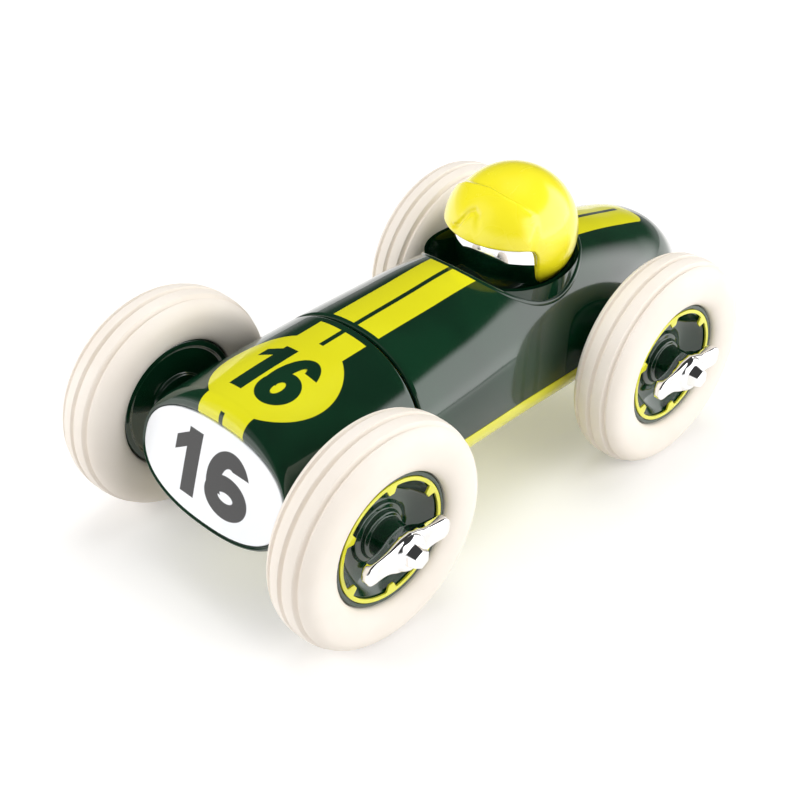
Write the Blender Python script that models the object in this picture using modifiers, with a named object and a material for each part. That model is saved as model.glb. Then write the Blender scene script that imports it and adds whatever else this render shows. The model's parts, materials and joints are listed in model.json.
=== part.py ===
"""A pull back racing car: moulded body, floor pan, driver, four wheels and the spring motor.

Metres, +X towards the nose, +Y to the car's left, +Z up, the tyres standing on z = 0.
The origin is below the middle of the car's length.
"""
import math

import bmesh
import bpy
from mathutils import Vector

# ------------------------------------------------------------------ sizes of the whole car
WHEELBASE = 0.1362
TRACK = 0.0966                  # between the middle planes of the left and right tyres
TAIL_OVERHANG = 0.0658          # tail tip behind the rear axle

# tyres
TYRE_RADIUS = 0.0375
TYRE_WIDTH = 0.0197
TYRE_BORE = 0.0224              # radius of the hole that the hub fills
TYRE_BEAD_WIDTH = 0.0128        # across the two beads
TYRE_BULGE_RADIUS = 0.0295      # where the side wall stands out furthest
GROOVE_SPACING = 0.0054
GROOVE_WIDTH = 0.0012
GROOVE_DEPTH = 0.0011

# hubs
HUB_FACE = 0.0065               # rim of the dish, outboard of the tyre's middle
HUB_SPLIT = -0.0025             # where the dish meets the back disc
DISH_DEPTH = 0.0065
BOSS_RADIUS = 0.0078
BOSS_STEP = 0.0012
BOSS_END = 0.0098
BACK_BOSS_RADIUS = 0.0062
RING_OUTER = 0.0205
RING_WIDTH = 0.0013
RING_THICKNESS = 0.0008
RING_TABS = 6
TAB_REACH = 0.0020
TAB_WIDTH = 0.0030

# spinners
SPINNER_REACH = 0.0165          # ear tip from the axle
SPINNER_EAR_WIDTH = 0.0094
SPINNER_EAR_THICKNESS = 0.0042
SPINNER_RADIUS = 0.0066
SPINNER_HEIGHT = 0.0088
SPINNER_ANGLE = math.radians(7)   # the forward ear hangs this much lower

# axles and motor
AXLE_RADIUS = 0.0016
AXLE_PLAY = 0.0008              # round the rear axle where it leaves the body
BUSH_RADIUS = 0.0036
BUSH_FLANGE_RADIUS = 0.0050
BUSH_FLANGE = 0.0010
GEAR_MODULE = 0.0008
AXLE_GEAR_TEETH = 12
IDLER_WHEEL_TEETH = 20
IDLER_PINION_TEETH = 10
SPRING_GEAR_TEETH = 26
GEAR_WIDTH = 0.0030
IDLER_LIFT = math.radians(25.6)   # the idler stands ahead of the axle, and this much up
SPRING_RISE = 0.0013            # the spring's axis above the rear axle
CASE_HALF_WIDTH = 0.0105
CASE_WALL = 0.0014
CASE_CORNER = 0.0056            # where the case's slanted corners start, from the axes
TAB_LENGTH = 0.0066
TAB_HALF_WIDTH = 0.0045
TAB_THICKNESS = 0.0026
TAB_STEP = 0.0002               # the tabs stand back from the case's own faces
SHAFT_RADIUS = 0.0010
ARBOR_RADIUS = 0.0020
SPRING_TURNS = 6
SPRING_PITCH = 0.0011
SPRING_STRIP = 0.0005
SPRING_HEIGHT = 0.0060

# body
BODY_HALF_WIDTH = 0.0360
ROOF_RISE = 0.0363              # roof above the widest line
FLOOR_DEPTH = 0.0165            # underside below it
NOSE_LIFT = 0.0030              # how far the widest line climbs towards the nose
WALL = 0.0022
FLOOR_WALL = 0.0034
SEAM_GAP = 0.0012
SPIGOT_LENGTH = 0.0060
SPIGOT_WALL = 0.0016
SPIGOT_CLEARANCE = 0.0006
SPIGOT_FLANGE = 0.0030          # how far the spigot's wall runs on inside the cowl
UNDERSIDE_DROP = 0.0155         # the pan's flat underside below the axles
SEAM_SETBACK = 0.0322           # the seam behind the front axle
ROOF_POWER = 2.2                # 2 would be an ellipse, more is squarer
FLOOR_POWER = 2.4
LEAN_RISE = 0.0025              # line about which the leaning sections turn, above the axles
HALF_STEPS = 12                 # facets in half of a section

# nose face
FACE_REACH = 0.0215             # face middle ahead of the front axle
SHOULDER_REACH = 0.0180         # where the body starts to round over, ahead of the front axle
FACE_RISE = 0.0047              # face middle above the axles
FACE_LEAN = 0.264               # radians, top rearward
PLATE_HALF_WIDTH = 0.0316
PLATE_HALF_HEIGHT = 0.0164
PLATE_POWER = 2.35
PLATE_THICKNESS = 0.0012
FACE_RIM = 0.0009

# cockpit and driver
COCKPIT_MIDDLE = 0.0310         # widest place of the opening, ahead of the rear axle
COCKPIT_FRONT = 0.0234
COCKPIT_REAR = 0.0335
COCKPIT_HALF_WIDTH = 0.0252
TUB_RISE = 0.0198               # the tub's floor above the body's lower edge
TUB_WALL = 0.0015
TUB_UPRIGHT = 0.0127             # where the tub's side turns upright, above its floor
TUB_DROP = 0.0010               # the tub's edge below the body's skin
DRIVER_AHEAD = 0.0244           # head middle ahead of the rear axle
HEAD_RISE = 0.0211              # head middle above the tub's floor
HELMET_RADIUS = 0.0221
HELMET_WALL = 0.0018
HEAD_GAP = 0.0005
HELMET_OPENING = math.radians(62)
BRIM_RISE = 0.0022              # brim above the middle of the head
FLAP_DROP = 0.0144              # the helmet's lower edge below the head's middle
TORSO_RADIUS = 0.0170
HEAD_SCREW_REACH = 0.0085       # above the tub's floor

# fasteners
SCREW_RADIUS = 0.0012
SCREW_HEAD_RADIUS = 0.0026
SCREW_HEAD = 0.0013
SCREW_GRIP = 0.0050              # screw in its post
POST_RADIUS = 0.0032
POST_FOOT = 0.0060              # where the body's posts meet the pan's, above the underside
MOTOR_SEAT = 0.0032             # the motor's pad above the underside

GAP = 0.0003                    # between pieces that seat on each other

# ------------------------------------------------------------------ worked out sizes
CAR_LENGTH = TAIL_OVERHANG + WHEELBASE + TYRE_RADIUS
REAR_AXLE_X = TAIL_OVERHANG - CAR_LENGTH / 2
FRONT_AXLE_X = REAR_AXLE_X + WHEELBASE
AXLE_Z = TYRE_RADIUS
SPLIT_Z = AXLE_Z                # body and pan part at axle height
FLAT_FLOOR = AXLE_Z - UNDERSIDE_DROP
LEAN_HEIGHT = AXLE_Z + LEAN_RISE
FACE_HEIGHT = AXLE_Z + FACE_RISE
SEAM_X = FRONT_AXLE_X - SEAM_SETBACK
TAIL_X = REAR_AXLE_X - TAIL_OVERHANG
FACE_X = FRONT_AXLE_X + FACE_REACH
HEAD_X = REAR_AXLE_X + DRIVER_AHEAD
TUB_FLOOR = SPLIT_Z + TUB_RISE
HEAD_HEIGHT = TUB_FLOOR + HEAD_RISE
FLAP_BOTTOM = HEAD_HEIGHT - FLAP_DROP


# ------------------------------------------------------------------ scene and helpers
def clear_scene():
    for old in list(bpy.data.objects):
        bpy.data.objects.remove(old, do_unlink=True)


def make_collection(name):
    group = bpy.data.collections.new(name)
    bpy.context.scene.collection.children.link(group)
    return group


clear_scene()
PARTS = make_collection("pull_back_car")
CUTTERS = make_collection("cutters")


def make_material(name, colour, metallic=0.0, roughness=0.3):
    material = bpy.data.materials.new(name)
    material.use_nodes = True
    shader = material.node_tree.nodes["Principled BSDF"]
    shader.inputs["Base Color"].default_value = (*colour, 1.0)
    shader.inputs["Metallic"].default_value = metallic
    shader.inputs["Roughness"].default_value = roughness
    return material


GREEN = make_material("green_gloss", (0.004, 0.034, 0.014), roughness=0.12)
YELLOW = make_material("yellow_gloss", (0.76, 0.74, 0.012), roughness=0.2)
HELMET_YELLOW = make_material("helmet_yellow", (0.95, 0.88, 0.02), roughness=0.18)
CREAM = make_material("cream_rubber", (0.91, 0.85, 0.78), roughness=0.6)
WHITE = make_material("white_plate", (0.93, 0.95, 0.98), roughness=0.3)
CHROME = make_material("chrome", (0.9, 0.9, 0.9), metallic=1.0, roughness=0.06)
STEEL = make_material("steel", (0.55, 0.55, 0.56), metallic=1.0, roughness=0.3)
NYLON = make_material("nylon", (0.85, 0.84, 0.80), roughness=0.45)
CASE_PLASTIC = make_material("case_plastic", (0.06, 0.06, 0.065), roughness=0.4)


def add_object(name, mesh, material, group=PARTS):
    thing = bpy.data.objects.new(name, mesh)
    group.objects.link(thing)
    if material is not None:
        mesh.materials.append(material)
    if group is CUTTERS:
        thing.hide_render = True
        thing.display_type = "WIRE"
    return thing


def shade(thing, angle=40):
    thing.data.shade_smooth()
    thing.data.set_sharp_from_angle(angle=math.radians(angle))


def mesh_from(bm, name):
    bmesh.ops.recalc_face_normals(bm, faces=bm.faces)
    mesh = bpy.data.meshes.new(name)
    bm.to_mesh(mesh)
    bm.free()
    return mesh


def loft(name, rings, material=None, group=PARTS):
    """A closed solid through rings of as many points each, capped at both ends."""
    bm = bmesh.new()
    loops = [[bm.verts.new(point) for point in ring] for ring in rings]
    count = len(rings[0])
    for near, far in zip(loops, loops[1:]):
        for i in range(count):
            j = (i + 1) % count
            bm.faces.new((near[i], near[j], far[j], far[i]))
    bm.faces.new(loops[0][::-1])
    bm.faces.new(loops[-1])
    return add_object(name, mesh_from(bm, name), material, group)


def circle_points(radius, sides):
    step = math.tau / sides
    return [(radius * math.cos(step * i), radius * math.sin(step * i)) for i in range(sides)]


def turned(name, profile, material, steps=24, group=PARTS):
    """A solid turned about local Z: the profile runs down its outer side, top to bottom.

    A profile that starts on the axis also ends there; any other is closed back to its start.
    """
    bm = bmesh.new()
    points = [bm.verts.new((radius, 0.0, height)) for radius, height in profile]
    last = points[1:] if profile[0][0] == 0.0 else points[1:] + points[:1]
    for a, b in zip(points, last):
        bm.edges.new((a, b))
    mesh = bpy.data.meshes.new(name)
    bm.to_mesh(mesh)
    bm.free()
    thing = add_object(name, mesh, material, group)
    screw = thing.modifiers.new("turn", "SCREW")
    screw.axis = "Z"
    screw.steps = steps
    screw.render_steps = steps
    screw.use_merge_vertices = True
    screw.merge_threshold = 0.00001
    apply_modifiers(thing)
    return thing


def prism(name, outline, low, high, material=None, group=PARTS, hole=None):
    """A flat outline in the XY plane, with a hole in it if one is given, made thick."""
    curve = bpy.data.curves.new(name, "CURVE")
    curve.dimensions = "2D"
    curve.fill_mode = "BOTH"
    curve.extrude = (high - low) / 2
    for points in (outline, hole):
        if points is None:
            continue
        spline = curve.splines.new("POLY")
        spline.points.add(len(points) - 1)
        spline.use_cyclic_u = True
        for knot, (x, y) in zip(spline.points, points):
            knot.co = (x, y, 0.0, 1.0)
    flat = bpy.data.objects.new(name, curve)
    bpy.context.scene.collection.objects.link(flat)
    depsgraph = bpy.context.evaluated_depsgraph_get()
    mesh = bpy.data.meshes.new_from_object(flat.evaluated_get(depsgraph))
    bpy.data.objects.remove(flat, do_unlink=True)
    bm = bmesh.new()
    bm.from_mesh(mesh)
    bpy.data.meshes.remove(mesh)
    bmesh.ops.remove_doubles(bm, verts=bm.verts, dist=0.000005)
    bmesh.ops.translate(bm, verts=bm.verts, vec=(0.0, 0.0, (low + high) / 2))
    return add_object(name, mesh_from(bm, name), material, group)


def cylinder(name, radius, low, high, material=None, group=PARTS, sides=14):
    bm = bmesh.new()
    bmesh.ops.create_cone(bm, cap_ends=True, segments=sides, radius1=radius, radius2=radius,
                          depth=high - low)
    bmesh.ops.translate(bm, verts=bm.verts, vec=(0.0, 0.0, (low + high) / 2))
    return add_object(name, mesh_from(bm, name), material, group)


def box(name, low, high, material=None, group=PARTS):
    """A box between two corners."""
    bm = bmesh.new()
    bmesh.ops.create_cube(bm, size=1.0)
    low, high = Vector(low), Vector(high)
    bmesh.ops.scale(bm, verts=bm.verts, vec=high - low)
    bmesh.ops.translate(bm, verts=bm.verts, vec=(low + high) / 2)
    return add_object(name, mesh_from(bm, name), material, group)


def ball(name, radius, material=None, group=PARTS, segments=21):
    bm = bmesh.new()
    bmesh.ops.create_uvsphere(bm, u_segments=segments, v_segments=segments * 4 // 7,
                              radius=radius)
    return add_object(name, mesh_from(bm, name), material, group)


def apply_modifiers(thing):
    """Turn the evaluated shape into the object's own mesh."""
    depsgraph = bpy.context.evaluated_depsgraph_get()
    mesh = bpy.data.meshes.new_from_object(thing.evaluated_get(depsgraph))
    old = thing.data
    thing.modifiers.clear()
    thing.data = mesh
    bpy.data.meshes.remove(old)


def boolean(thing, tool, operation="DIFFERENCE"):
    bpy.context.view_layer.update()
    cut = thing.modifiers.new(operation.lower(), "BOOLEAN")
    cut.operation = operation
    cut.solver = "EXACT"
    cut.object = tool
    apply_modifiers(thing)
    bpy.data.objects.remove(tool, do_unlink=True)


def place(thing, x=0.0, y=0.0, z=0.0, side=0):
    """Put a piece in place; side +1 or -1 turns its local Z outboard to the left or the right."""
    thing.location = (x, y, z)
    if side:
        thing.rotation_euler = (-side * math.pi / 2, 0.0, 0.0)
    return thing


# ------------------------------------------------------------------ the body's lines
STATION_SHARES = (
    # half width, roof, lift, floor and lean, as shares of the named sizes
    (0.070, 0.080, 0.0, 0.150, 0.0),
    (0.150, 0.143, 0.0, 0.250, 0.0),
    (0.250, 0.234, 0.0, 0.430, 0.0),
    (0.403, 0.402, 0.0, 0.600, 0.0),
    (0.600, 0.656, 0.0, 0.830, 0.0),
    (0.778, 0.802, 0.0, 0.955, 0.0),
    (0.883, 0.931, 0.0, 1.000, 0.0),
    (0.928, 0.983, 0.0, 1.000, 0.0),
    (0.950, 1.000, 0.0, 1.000, 0.0),
    (0.981, 0.950, 0.0, 1.000, 0.227),
    (1.000, 0.895, 0.0, 0.988, 0.455),
    (0.972, 0.807, 0.5, 0.927, 0.758),
    (0.925, 0.736, 1.0, 0.794, 1.000),
)


def body_stations():
    """Station, half width, roof, height of the widest line, floor and lean, tail to nose."""
    places = [TAIL_X + share * TAIL_OVERHANG for share in (0.0, 0.018, 0.061, 0.152, 0.331, 0.620)]
    places += [REAR_AXLE_X + share * WHEELBASE for share in (0.0, 0.184, 0.400, 0.577)]
    places += [SEAM_X, FRONT_AXLE_X, FRONT_AXLE_X + SHOULDER_REACH + 0.0010]
    return [(x, BODY_HALF_WIDTH * half, SPLIT_Z + ROOF_RISE * roof, SPLIT_Z + NOSE_LIFT * lift,
             SPLIT_Z - FLOOR_DEPTH * floor, FACE_LEAN * lean)
            for x, (half, roof, lift, floor, lean) in zip(places, STATION_SHARES)]


def smooth_value(rows, x, column):
    """A smooth curve through one column of the stations."""
    x = min(max(x, rows[0][0]), rows[-1][0])
    i = max(k for k in range(len(rows) - 1) if rows[k][0] <= x)

    def slope(k):
        low, high = max(k - 1, 0), min(k + 1, len(rows) - 1)
        return (rows[high][column] - rows[low][column]) / (rows[high][0] - rows[low][0])

    span = rows[i + 1][0] - rows[i][0]
    t = (x - rows[i][0]) / span
    start, end = rows[i][column], rows[i + 1][column]
    return ((2 * t**3 - 3 * t**2 + 1) * start + (t**3 - 2 * t**2 + t) * span * slope(i)
            + (3 * t**2 - 2 * t**3) * end + (t**3 - t**2) * span * slope(i + 1))


def power_arc(power, angle):
    """A point on a unit superellipse."""
    c, s = math.cos(angle), math.sin(angle)
    return (math.copysign(abs(c) ** (2 / power), c), math.copysign(abs(s) ** (2 / power), s))


def section(x, inset=0.0, floor_inset=None):
    rows = body_stations()
    half, roof, mid, floor, lean = (smooth_value(rows, x, column) for column in range(1, 6))
    floor_inset = inset if floor_inset is None else floor_inset
    return half - inset, roof - inset, mid, floor + floor_inset, lean


def section_point(x, lean, y, z):
    return Vector((x - lean * (z - LEAN_HEIGHT), y, z))


def roof_ring(x, inset=0.0, skirt=0.0, steps=HALF_STEPS):
    """The upper half of a section, with its lower edge dropped by the skirt."""
    half, roof, mid, floor, lean = section(x, inset)
    points = []
    for i in range(steps + 1):
        across, up = power_arc(ROOF_POWER, math.pi * i / steps)
        points.append(section_point(x, lean, half * across, SPLIT_Z + (roof - SPLIT_Z) * up))
    points[0].z -= skirt
    points[-1].z -= skirt
    return points


def floor_ring(x, inset=0.0, floor_inset=0.0, rise=0.0, steps=HALF_STEPS):
    """The lower half of a section, with its upper edge raised."""
    half, roof, mid, floor, lean = section(x, inset, floor_inset)
    points = []
    for i in range(steps + 1):
        across, up = power_arc(FLOOR_POWER, math.pi * (1 + i / steps))
        points.append(section_point(x, lean, half * across, SPLIT_Z + (SPLIT_Z - floor) * up))
    points[0].z += rise
    points[-1].z += rise
    return points


def whole_ring(x, inset=0.0, floor_inset=0.0, steps=2 * HALF_STEPS):
    half, roof, mid, floor, lean = section(x, inset, floor_inset)
    points = []
    for i in range(steps):
        angle = math.tau * i / steps
        upper = angle < math.pi
        across, up = power_arc(ROOF_POWER if upper else FLOOR_POWER, angle)
        reach = roof - mid if upper else mid - floor
        points.append(section_point(x, lean, half * across, mid + reach * up))
    return points


def tail_spaced(start, end, steps):
    """Stations that crowd towards the rounded tail."""
    return [start + (end - start) * (1 - math.cos(math.pi / 2 * i / steps))
            for i in range(steps + 1)]


BODY_FRONT = SEAM_X - SEAM_GAP
HOLLOW_TAIL = TAIL_X + 0.0045


# ------------------------------------------------------------------ moulded body
def cockpit_outline(inset=0.0, scale=1.0, steps=24):
    """The egg shaped opening, seen from above."""
    middle = REAR_AXLE_X + COCKPIT_MIDDLE
    points = []
    for i in range(steps):
        angle = math.tau * i / steps
        front = math.cos(angle) >= 0
        across_x, across_y = power_arc(2.3 if front else 1.8, angle)
        length = (COCKPIT_FRONT if front else COCKPIT_REAR) - inset
        points.append((middle + scale * length * across_x,
                       scale * (COCKPIT_HALF_WIDTH - inset) * across_y))
    return points


SCREW_PLACES = (
    ("front_left", SEAM_X - 0.0150, 0.0200),
    ("front_right", SEAM_X - 0.0150, -0.0200),
    ("rear_left", REAR_AXLE_X - 0.0300, 0.0115),
    ("rear_right", REAR_AXLE_X - 0.0300, -0.0115),
)
SCREW_SEAT_Z = FLAT_FLOOR + SCREW_HEAD + GAP
POST_FOOT_Z = FLAT_FLOOR + POST_FOOT
MOTOR_SEAT_Z = FLAT_FLOOR + MOTOR_SEAT


def roof_height(x, y):
    half, roof, mid, floor, lean = section(x)
    share = min(abs(y) / half, 0.98)
    return SPLIT_Z + (roof - SPLIT_Z) * (1 - share**ROOF_POWER) ** (1 / ROOF_POWER)


def add_cylinder(body, radius, low, high, x, y, operation):
    """Join an upright cylinder to a piece, or cut it out."""
    tool = place(cylinder("tool", radius, low, high, group=CUTTERS, sides=8), x, y)
    tool.rotation_euler.z = math.radians(10)
    boolean(body, tool, operation)


def cut_axle_hole(body, x, radius):
    hole = cylinder("hole", radius, -TRACK / 2, TRACK / 2, group=CUTTERS, sides=16)
    boolean(body, place(hole, x, 0.0, AXLE_Z, side=1))


def make_rear_body():
    stations = tail_spaced(TAIL_X, BODY_FRONT, 10)
    outer = [roof_ring(x) for x in stations]
    for ring in outer:
        for point in ring[:1] + ring[-1:]:
            point.z += GAP / 2
    body = loft("rear_body", outer, GREEN)
    inner_stations = tail_spaced(HOLLOW_TAIL, BODY_FRONT + 0.0020, 7)
    hollow = loft("hollow", [roof_ring(x, WALL, skirt=0.002) for x in inner_stations],
                  group=CUTTERS)
    boolean(body, hollow)
    opening = prism("opening", cockpit_outline(), TUB_FLOOR - WALL, HEAD_HEIGHT, group=CUTTERS)
    boolean(body, opening)
    for name, x, y in SCREW_PLACES:
        roof = roof_height(x, abs(y) + POST_RADIUS) - WALL / 2
        add_cylinder(body, POST_RADIUS, POST_FOOT_Z, roof, x, y, "UNION")
        add_cylinder(body, SCREW_RADIUS + GAP, POST_FOOT_Z - 0.001,
                     POST_FOOT_Z + SCREW_GRIP + 0.001, x, y, "DIFFERENCE")
    cut_axle_hole(body, REAR_AXLE_X, AXLE_RADIUS + AXLE_PLAY)
    shade(body)
    return body


def cut_flat_floor(piece):
    corner = (CAR_LENGTH, CAR_LENGTH, FLAT_FLOOR)
    boolean(piece, box("under", (-CAR_LENGTH, -CAR_LENGTH, 0.0), corner, group=CUTTERS))


def make_floor_pan():
    stations = tail_spaced(TAIL_X, BODY_FRONT, 10)
    outer = [floor_ring(x) for x in stations]
    for ring in outer:
        for point in ring[:1] + ring[-1:]:
            point.z -= GAP / 2
    pan = loft("floor_pan", outer, YELLOW)
    inner_stations = tail_spaced(HOLLOW_TAIL, BODY_FRONT + 0.0020, 7)
    hollow = loft("hollow", [floor_ring(x, WALL, FLOOR_WALL, rise=0.002)
                             for x in inner_stations], group=CUTTERS)
    boolean(pan, hollow)
    for name, x, y in SCREW_PLACES:
        add_cylinder(pan, POST_RADIUS, SCREW_SEAT_Z, POST_FOOT_Z - GAP, x, y, "UNION")
    pad = box("pad", (CASE_REAR - TAB_LENGTH, -CASE_HALF_WIDTH, SCREW_SEAT_Z),
              (CASE_FRONT + TAB_LENGTH, CASE_HALF_WIDTH, MOTOR_SEAT_Z), group=CUTTERS)
    boolean(pan, pad, "UNION")
    cut_flat_floor(pan)
    for name, x, y in SCREW_PLACES + MOTOR_SCREWS:
        add_cylinder(pan, SCREW_RADIUS + GAP, 0.0, AXLE_Z, x, y, "DIFFERENCE")
        add_cylinder(pan, SCREW_HEAD_RADIUS + GAP, 0.0, SCREW_SEAT_Z, x, y, "DIFFERENCE")
    cut_axle_hole(pan, REAR_AXLE_X, AXLE_RADIUS + AXLE_PLAY)
    shade(pan)
    return pan


def face_point(across, up, ahead=0.0):
    """A point of the leaning nose face, by its own width, height and depth."""
    x = FACE_X - up * math.sin(FACE_LEAN) + ahead * math.cos(FACE_LEAN)
    z = FACE_HEIGHT + up * math.cos(FACE_LEAN) + ahead * math.sin(FACE_LEAN)
    return Vector((x, across, z))


def face_ring(grow, ahead, steps=2 * HALF_STEPS):
    points = []
    for i in range(steps):
        across, up = power_arc(PLATE_POWER, math.tau * i / steps)
        points.append(face_point((PLATE_HALF_WIDTH + grow) * across,
                                 (PLATE_HALF_HEIGHT + grow) * up, ahead))
    return points


def nose_rings(inset=0.0, floor_inset=0.0, start=SEAM_X):
    """Body sections from the seam forwards, rounded over into the rim of the face."""
    end = FRONT_AXLE_X + SHOULDER_REACH
    rings = [whole_ring(start + (end - start) * i / 5, inset, floor_inset) for i in range(6)]
    shoulder = rings[-1]
    rim = face_ring(FACE_RIM - inset, -inset)
    for i in range(1, 4):
        angle = math.pi / 2 * i / 3
        inwards, ahead = 1 - math.cos(angle), math.sin(angle)
        ring = []
        for a, b in zip(shoulder, rim):
            ring.append(Vector((a.x + (b.x - a.x) * ahead, a.y + (b.y - a.y) * inwards,
                                a.z + (b.z - a.z) * inwards)))
        rings.append(ring)
    return rings


def make_nose_cowl():
    tongue = (WALL + SPIGOT_CLEARANCE, FLOOR_WALL + SPIGOT_CLEARANCE)
    back = BODY_FRONT - SPIGOT_LENGTH
    spigot = [whole_ring(back, *tongue), whole_ring(SEAM_X, *tongue)]
    cowl = loft("nose_cowl", spigot + nose_rings(), GREEN)
    inside = [inset + SPIGOT_WALL for inset in tongue]
    flange = SEAM_X + SPIGOT_FLANGE
    throat = [whole_ring(back - 0.001, *inside), whole_ring(flange, *inside)]
    chamber = nose_rings(WALL, WALL, start=flange + 0.001)
    boolean(cowl, loft("hollow", throat + chamber, group=CUTTERS))
    cut_flat_floor(cowl)
    recess = loft("recess", [face_ring(GAP, -PLATE_THICKNESS), face_ring(GAP, 0.004)],
                  group=CUTTERS)
    boolean(cowl, recess)
    cut_axle_hole(cowl, FRONT_AXLE_X, BUSH_RADIUS + GAP)
    shade(cowl)
    return cowl


def make_nose_plate():
    plate = loft("nose_plate", [face_ring(0.0, GAP - PLATE_THICKNESS),
                                face_ring(0.0, 0.0), face_ring(-0.0004, GAP)], WHITE)
    shade(plate)


def make_screw(name, x, y, seat, tip):
    """A pan head screw that comes up from below, its head under the seat."""
    head, radius = SCREW_HEAD_RADIUS, SCREW_RADIUS
    top = seat - GAP / 2
    base = top - SCREW_HEAD
    profile = [(0.0, tip), (radius * 0.5, tip), (radius, tip - 0.0015), (radius, top),
               (head, top), (head, base + 0.0004), (head - 0.0006, base), (0.0, base)]
    screw = place(turned(name, profile, STEEL, steps=8), x, y)
    shade(screw)


# ------------------------------------------------------------------ cockpit and driver
def make_cockpit_tub():
    bottom = TUB_FLOOR - TUB_WALL

    def shell_rings(wall, low):
        levels = ((low, 0.80), (low + 0.0012, 0.86), (low + 0.0050, 0.93),
                  (TUB_FLOOR + TUB_UPRIGHT, 1.0), (HEAD_HEIGHT, 1.0))
        return [[Vector((x, y, z)) for x, y in cockpit_outline(GAP + wall, scale)]
                for z, scale in levels]

    tub = loft("cockpit_tub", shell_rings(0.0, bottom), GREEN)
    under_skin = loft("skin", [roof_ring(x, TUB_DROP) for x in
                               tail_spaced(HOLLOW_TAIL, BODY_FRONT, 30)], group=CUTTERS)
    boolean(tub, under_skin, "INTERSECT")
    boolean(tub, loft("hollow", shell_rings(TUB_WALL, TUB_FLOOR), group=CUTTERS))
    add_cylinder(tub, SCREW_RADIUS + GAP, SPLIT_Z, HEAD_HEIGHT, HEAD_X, 0.0, "DIFFERENCE")
    shade(tub)


def make_driver_torso():
    """Shoulders and collar, hollowed on top to seat the head."""
    radius = TORSO_RADIUS
    base = TUB_FLOOR + GAP
    top = FLAP_BOTTOM - GAP
    seat = HELMET_RADIUS - HELMET_WALL - HEAD_GAP + GAP
    hole = SCREW_RADIUS + GAP
    profile = [(math.sqrt(seat**2 - (HEAD_HEIGHT - top) ** 2), top)]
    profile += [(radius - 0.0018, top), (radius - 0.0005, top - 0.0010),
                (radius, top - 0.0028), (radius - 0.0006, base), (hole, base)]
    low = HEAD_HEIGHT - seat
    profile.append((hole, low - 0.0004))
    for i in range(1, 5):
        radius_here = profile[0][0] * i / 5
        profile.append((radius_here, HEAD_HEIGHT - math.sqrt(seat**2 - radius_here**2)))
    torso = place(turned("driver_torso", profile, GREEN, steps=16), HEAD_X)
    shade(torso)


def make_driver_head():
    """A plain plated ball, bored from below for its screw."""
    radius = HELMET_RADIUS - HELMET_WALL - HEAD_GAP
    head = place(ball("driver_head", radius, CHROME), HEAD_X, 0.0, HEAD_HEIGHT)
    add_cylinder(head, SCREW_RADIUS + GAP, HEAD_HEIGHT - 2 * radius,
                 TUB_FLOOR + HEAD_SCREW_REACH + 0.001, HEAD_X, 0.0, "DIFFERENCE")
    shade(head)


def make_helmet():
    helmet = ball("helmet", HELMET_RADIUS, HELMET_YELLOW, segments=28)
    place(helmet, HEAD_X, 0.0, HEAD_HEIGHT)
    inside = ball("inside", HELMET_RADIUS - HELMET_WALL, group=CUTTERS)
    boolean(helmet, place(inside, HEAD_X, 0.0, HEAD_HEIGHT))
    reach = 2 * HELMET_RADIUS
    side = reach * math.tan(HELMET_OPENING)
    wedge = [(0.0, 0.0), (reach, -side), (reach, side)]
    opening = prism("opening", wedge, 0.0, HEAD_HEIGHT + BRIM_RISE, group=CUTTERS)
    boolean(helmet, place(opening, HEAD_X))
    add_cylinder(helmet, reach, 0.0, FLAP_BOTTOM, HEAD_X, 0.0, "DIFFERENCE")
    shade(helmet)


# ------------------------------------------------------------------ wheels
def tyre_profile():
    """Half of the section: crowned tread with grooves, bulging side wall, bead."""
    half = TYRE_WIDTH / 2
    crown = TYRE_RADIUS - TYRE_BULGE_RADIUS
    points = []

    def surface(offset):
        share = abs(offset) / half
        return TYRE_BULGE_RADIUS + crown * (1 - share**2.5) ** (1 / 2.5)

    def groove(centre):
        edge = GROOVE_WIDTH / 2
        return [(surface(centre - edge), centre - edge),
                (surface(centre) - GROOVE_DEPTH, centre),
                (surface(centre + edge), centre + edge)]

    points += groove(0.0)[1:]
    points += groove(GROOVE_SPACING)
    for share in (0.84, 0.97):
        points.append((surface(share * half), share * half))
    bead = TYRE_BEAD_WIDTH / 2
    fall = TYRE_BULGE_RADIUS - TYRE_BORE
    for angle in (35,):
        turn = math.radians(angle)
        points.append((TYRE_BULGE_RADIUS - fall * math.sin(turn),
                       bead + (half - bead) * math.cos(turn)))
    points.append((TYRE_BORE, bead))
    return points


def make_tyre(name):
    half = tyre_profile()
    upper = [(radius, height) for radius, height in reversed(half)]
    lower = [(radius, -height) for radius, height in half[1:]]
    return turned(name, upper + lower, CREAM, steps=24)


def make_wheel_disc(name):
    """The outboard moulding: rim, ledge for the ring, dish and stepped boss."""
    rim = TYRE_BORE - GAP
    ledge = HUB_FACE - RING_THICKNESS - GAP / 2
    floor = HUB_FACE - DISH_DEPTH
    inner = RING_OUTER - RING_WIDTH - 0.0004
    profile = [(AXLE_RADIUS + GAP, BOSS_END), (BOSS_RADIUS - BOSS_STEP, BOSS_END),
               (BOSS_RADIUS - BOSS_STEP, floor + 0.0030), (BOSS_RADIUS, floor + 0.0026),
               (BOSS_RADIUS + 0.0008, floor), (BOSS_RADIUS + 0.0040, floor),
               (inner - 0.0020, ledge - 0.0030), (inner, ledge), (RING_OUTER + GAP, ledge),
               (RING_OUTER + GAP, HUB_FACE - 0.0002), (rim - 0.0006, HUB_FACE),
               (rim, HUB_FACE - 0.0006), (rim, HUB_SPLIT), (AXLE_RADIUS + GAP, HUB_SPLIT)]
    disc = turned(name, profile, GREEN, steps=18)
    return disc


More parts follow.
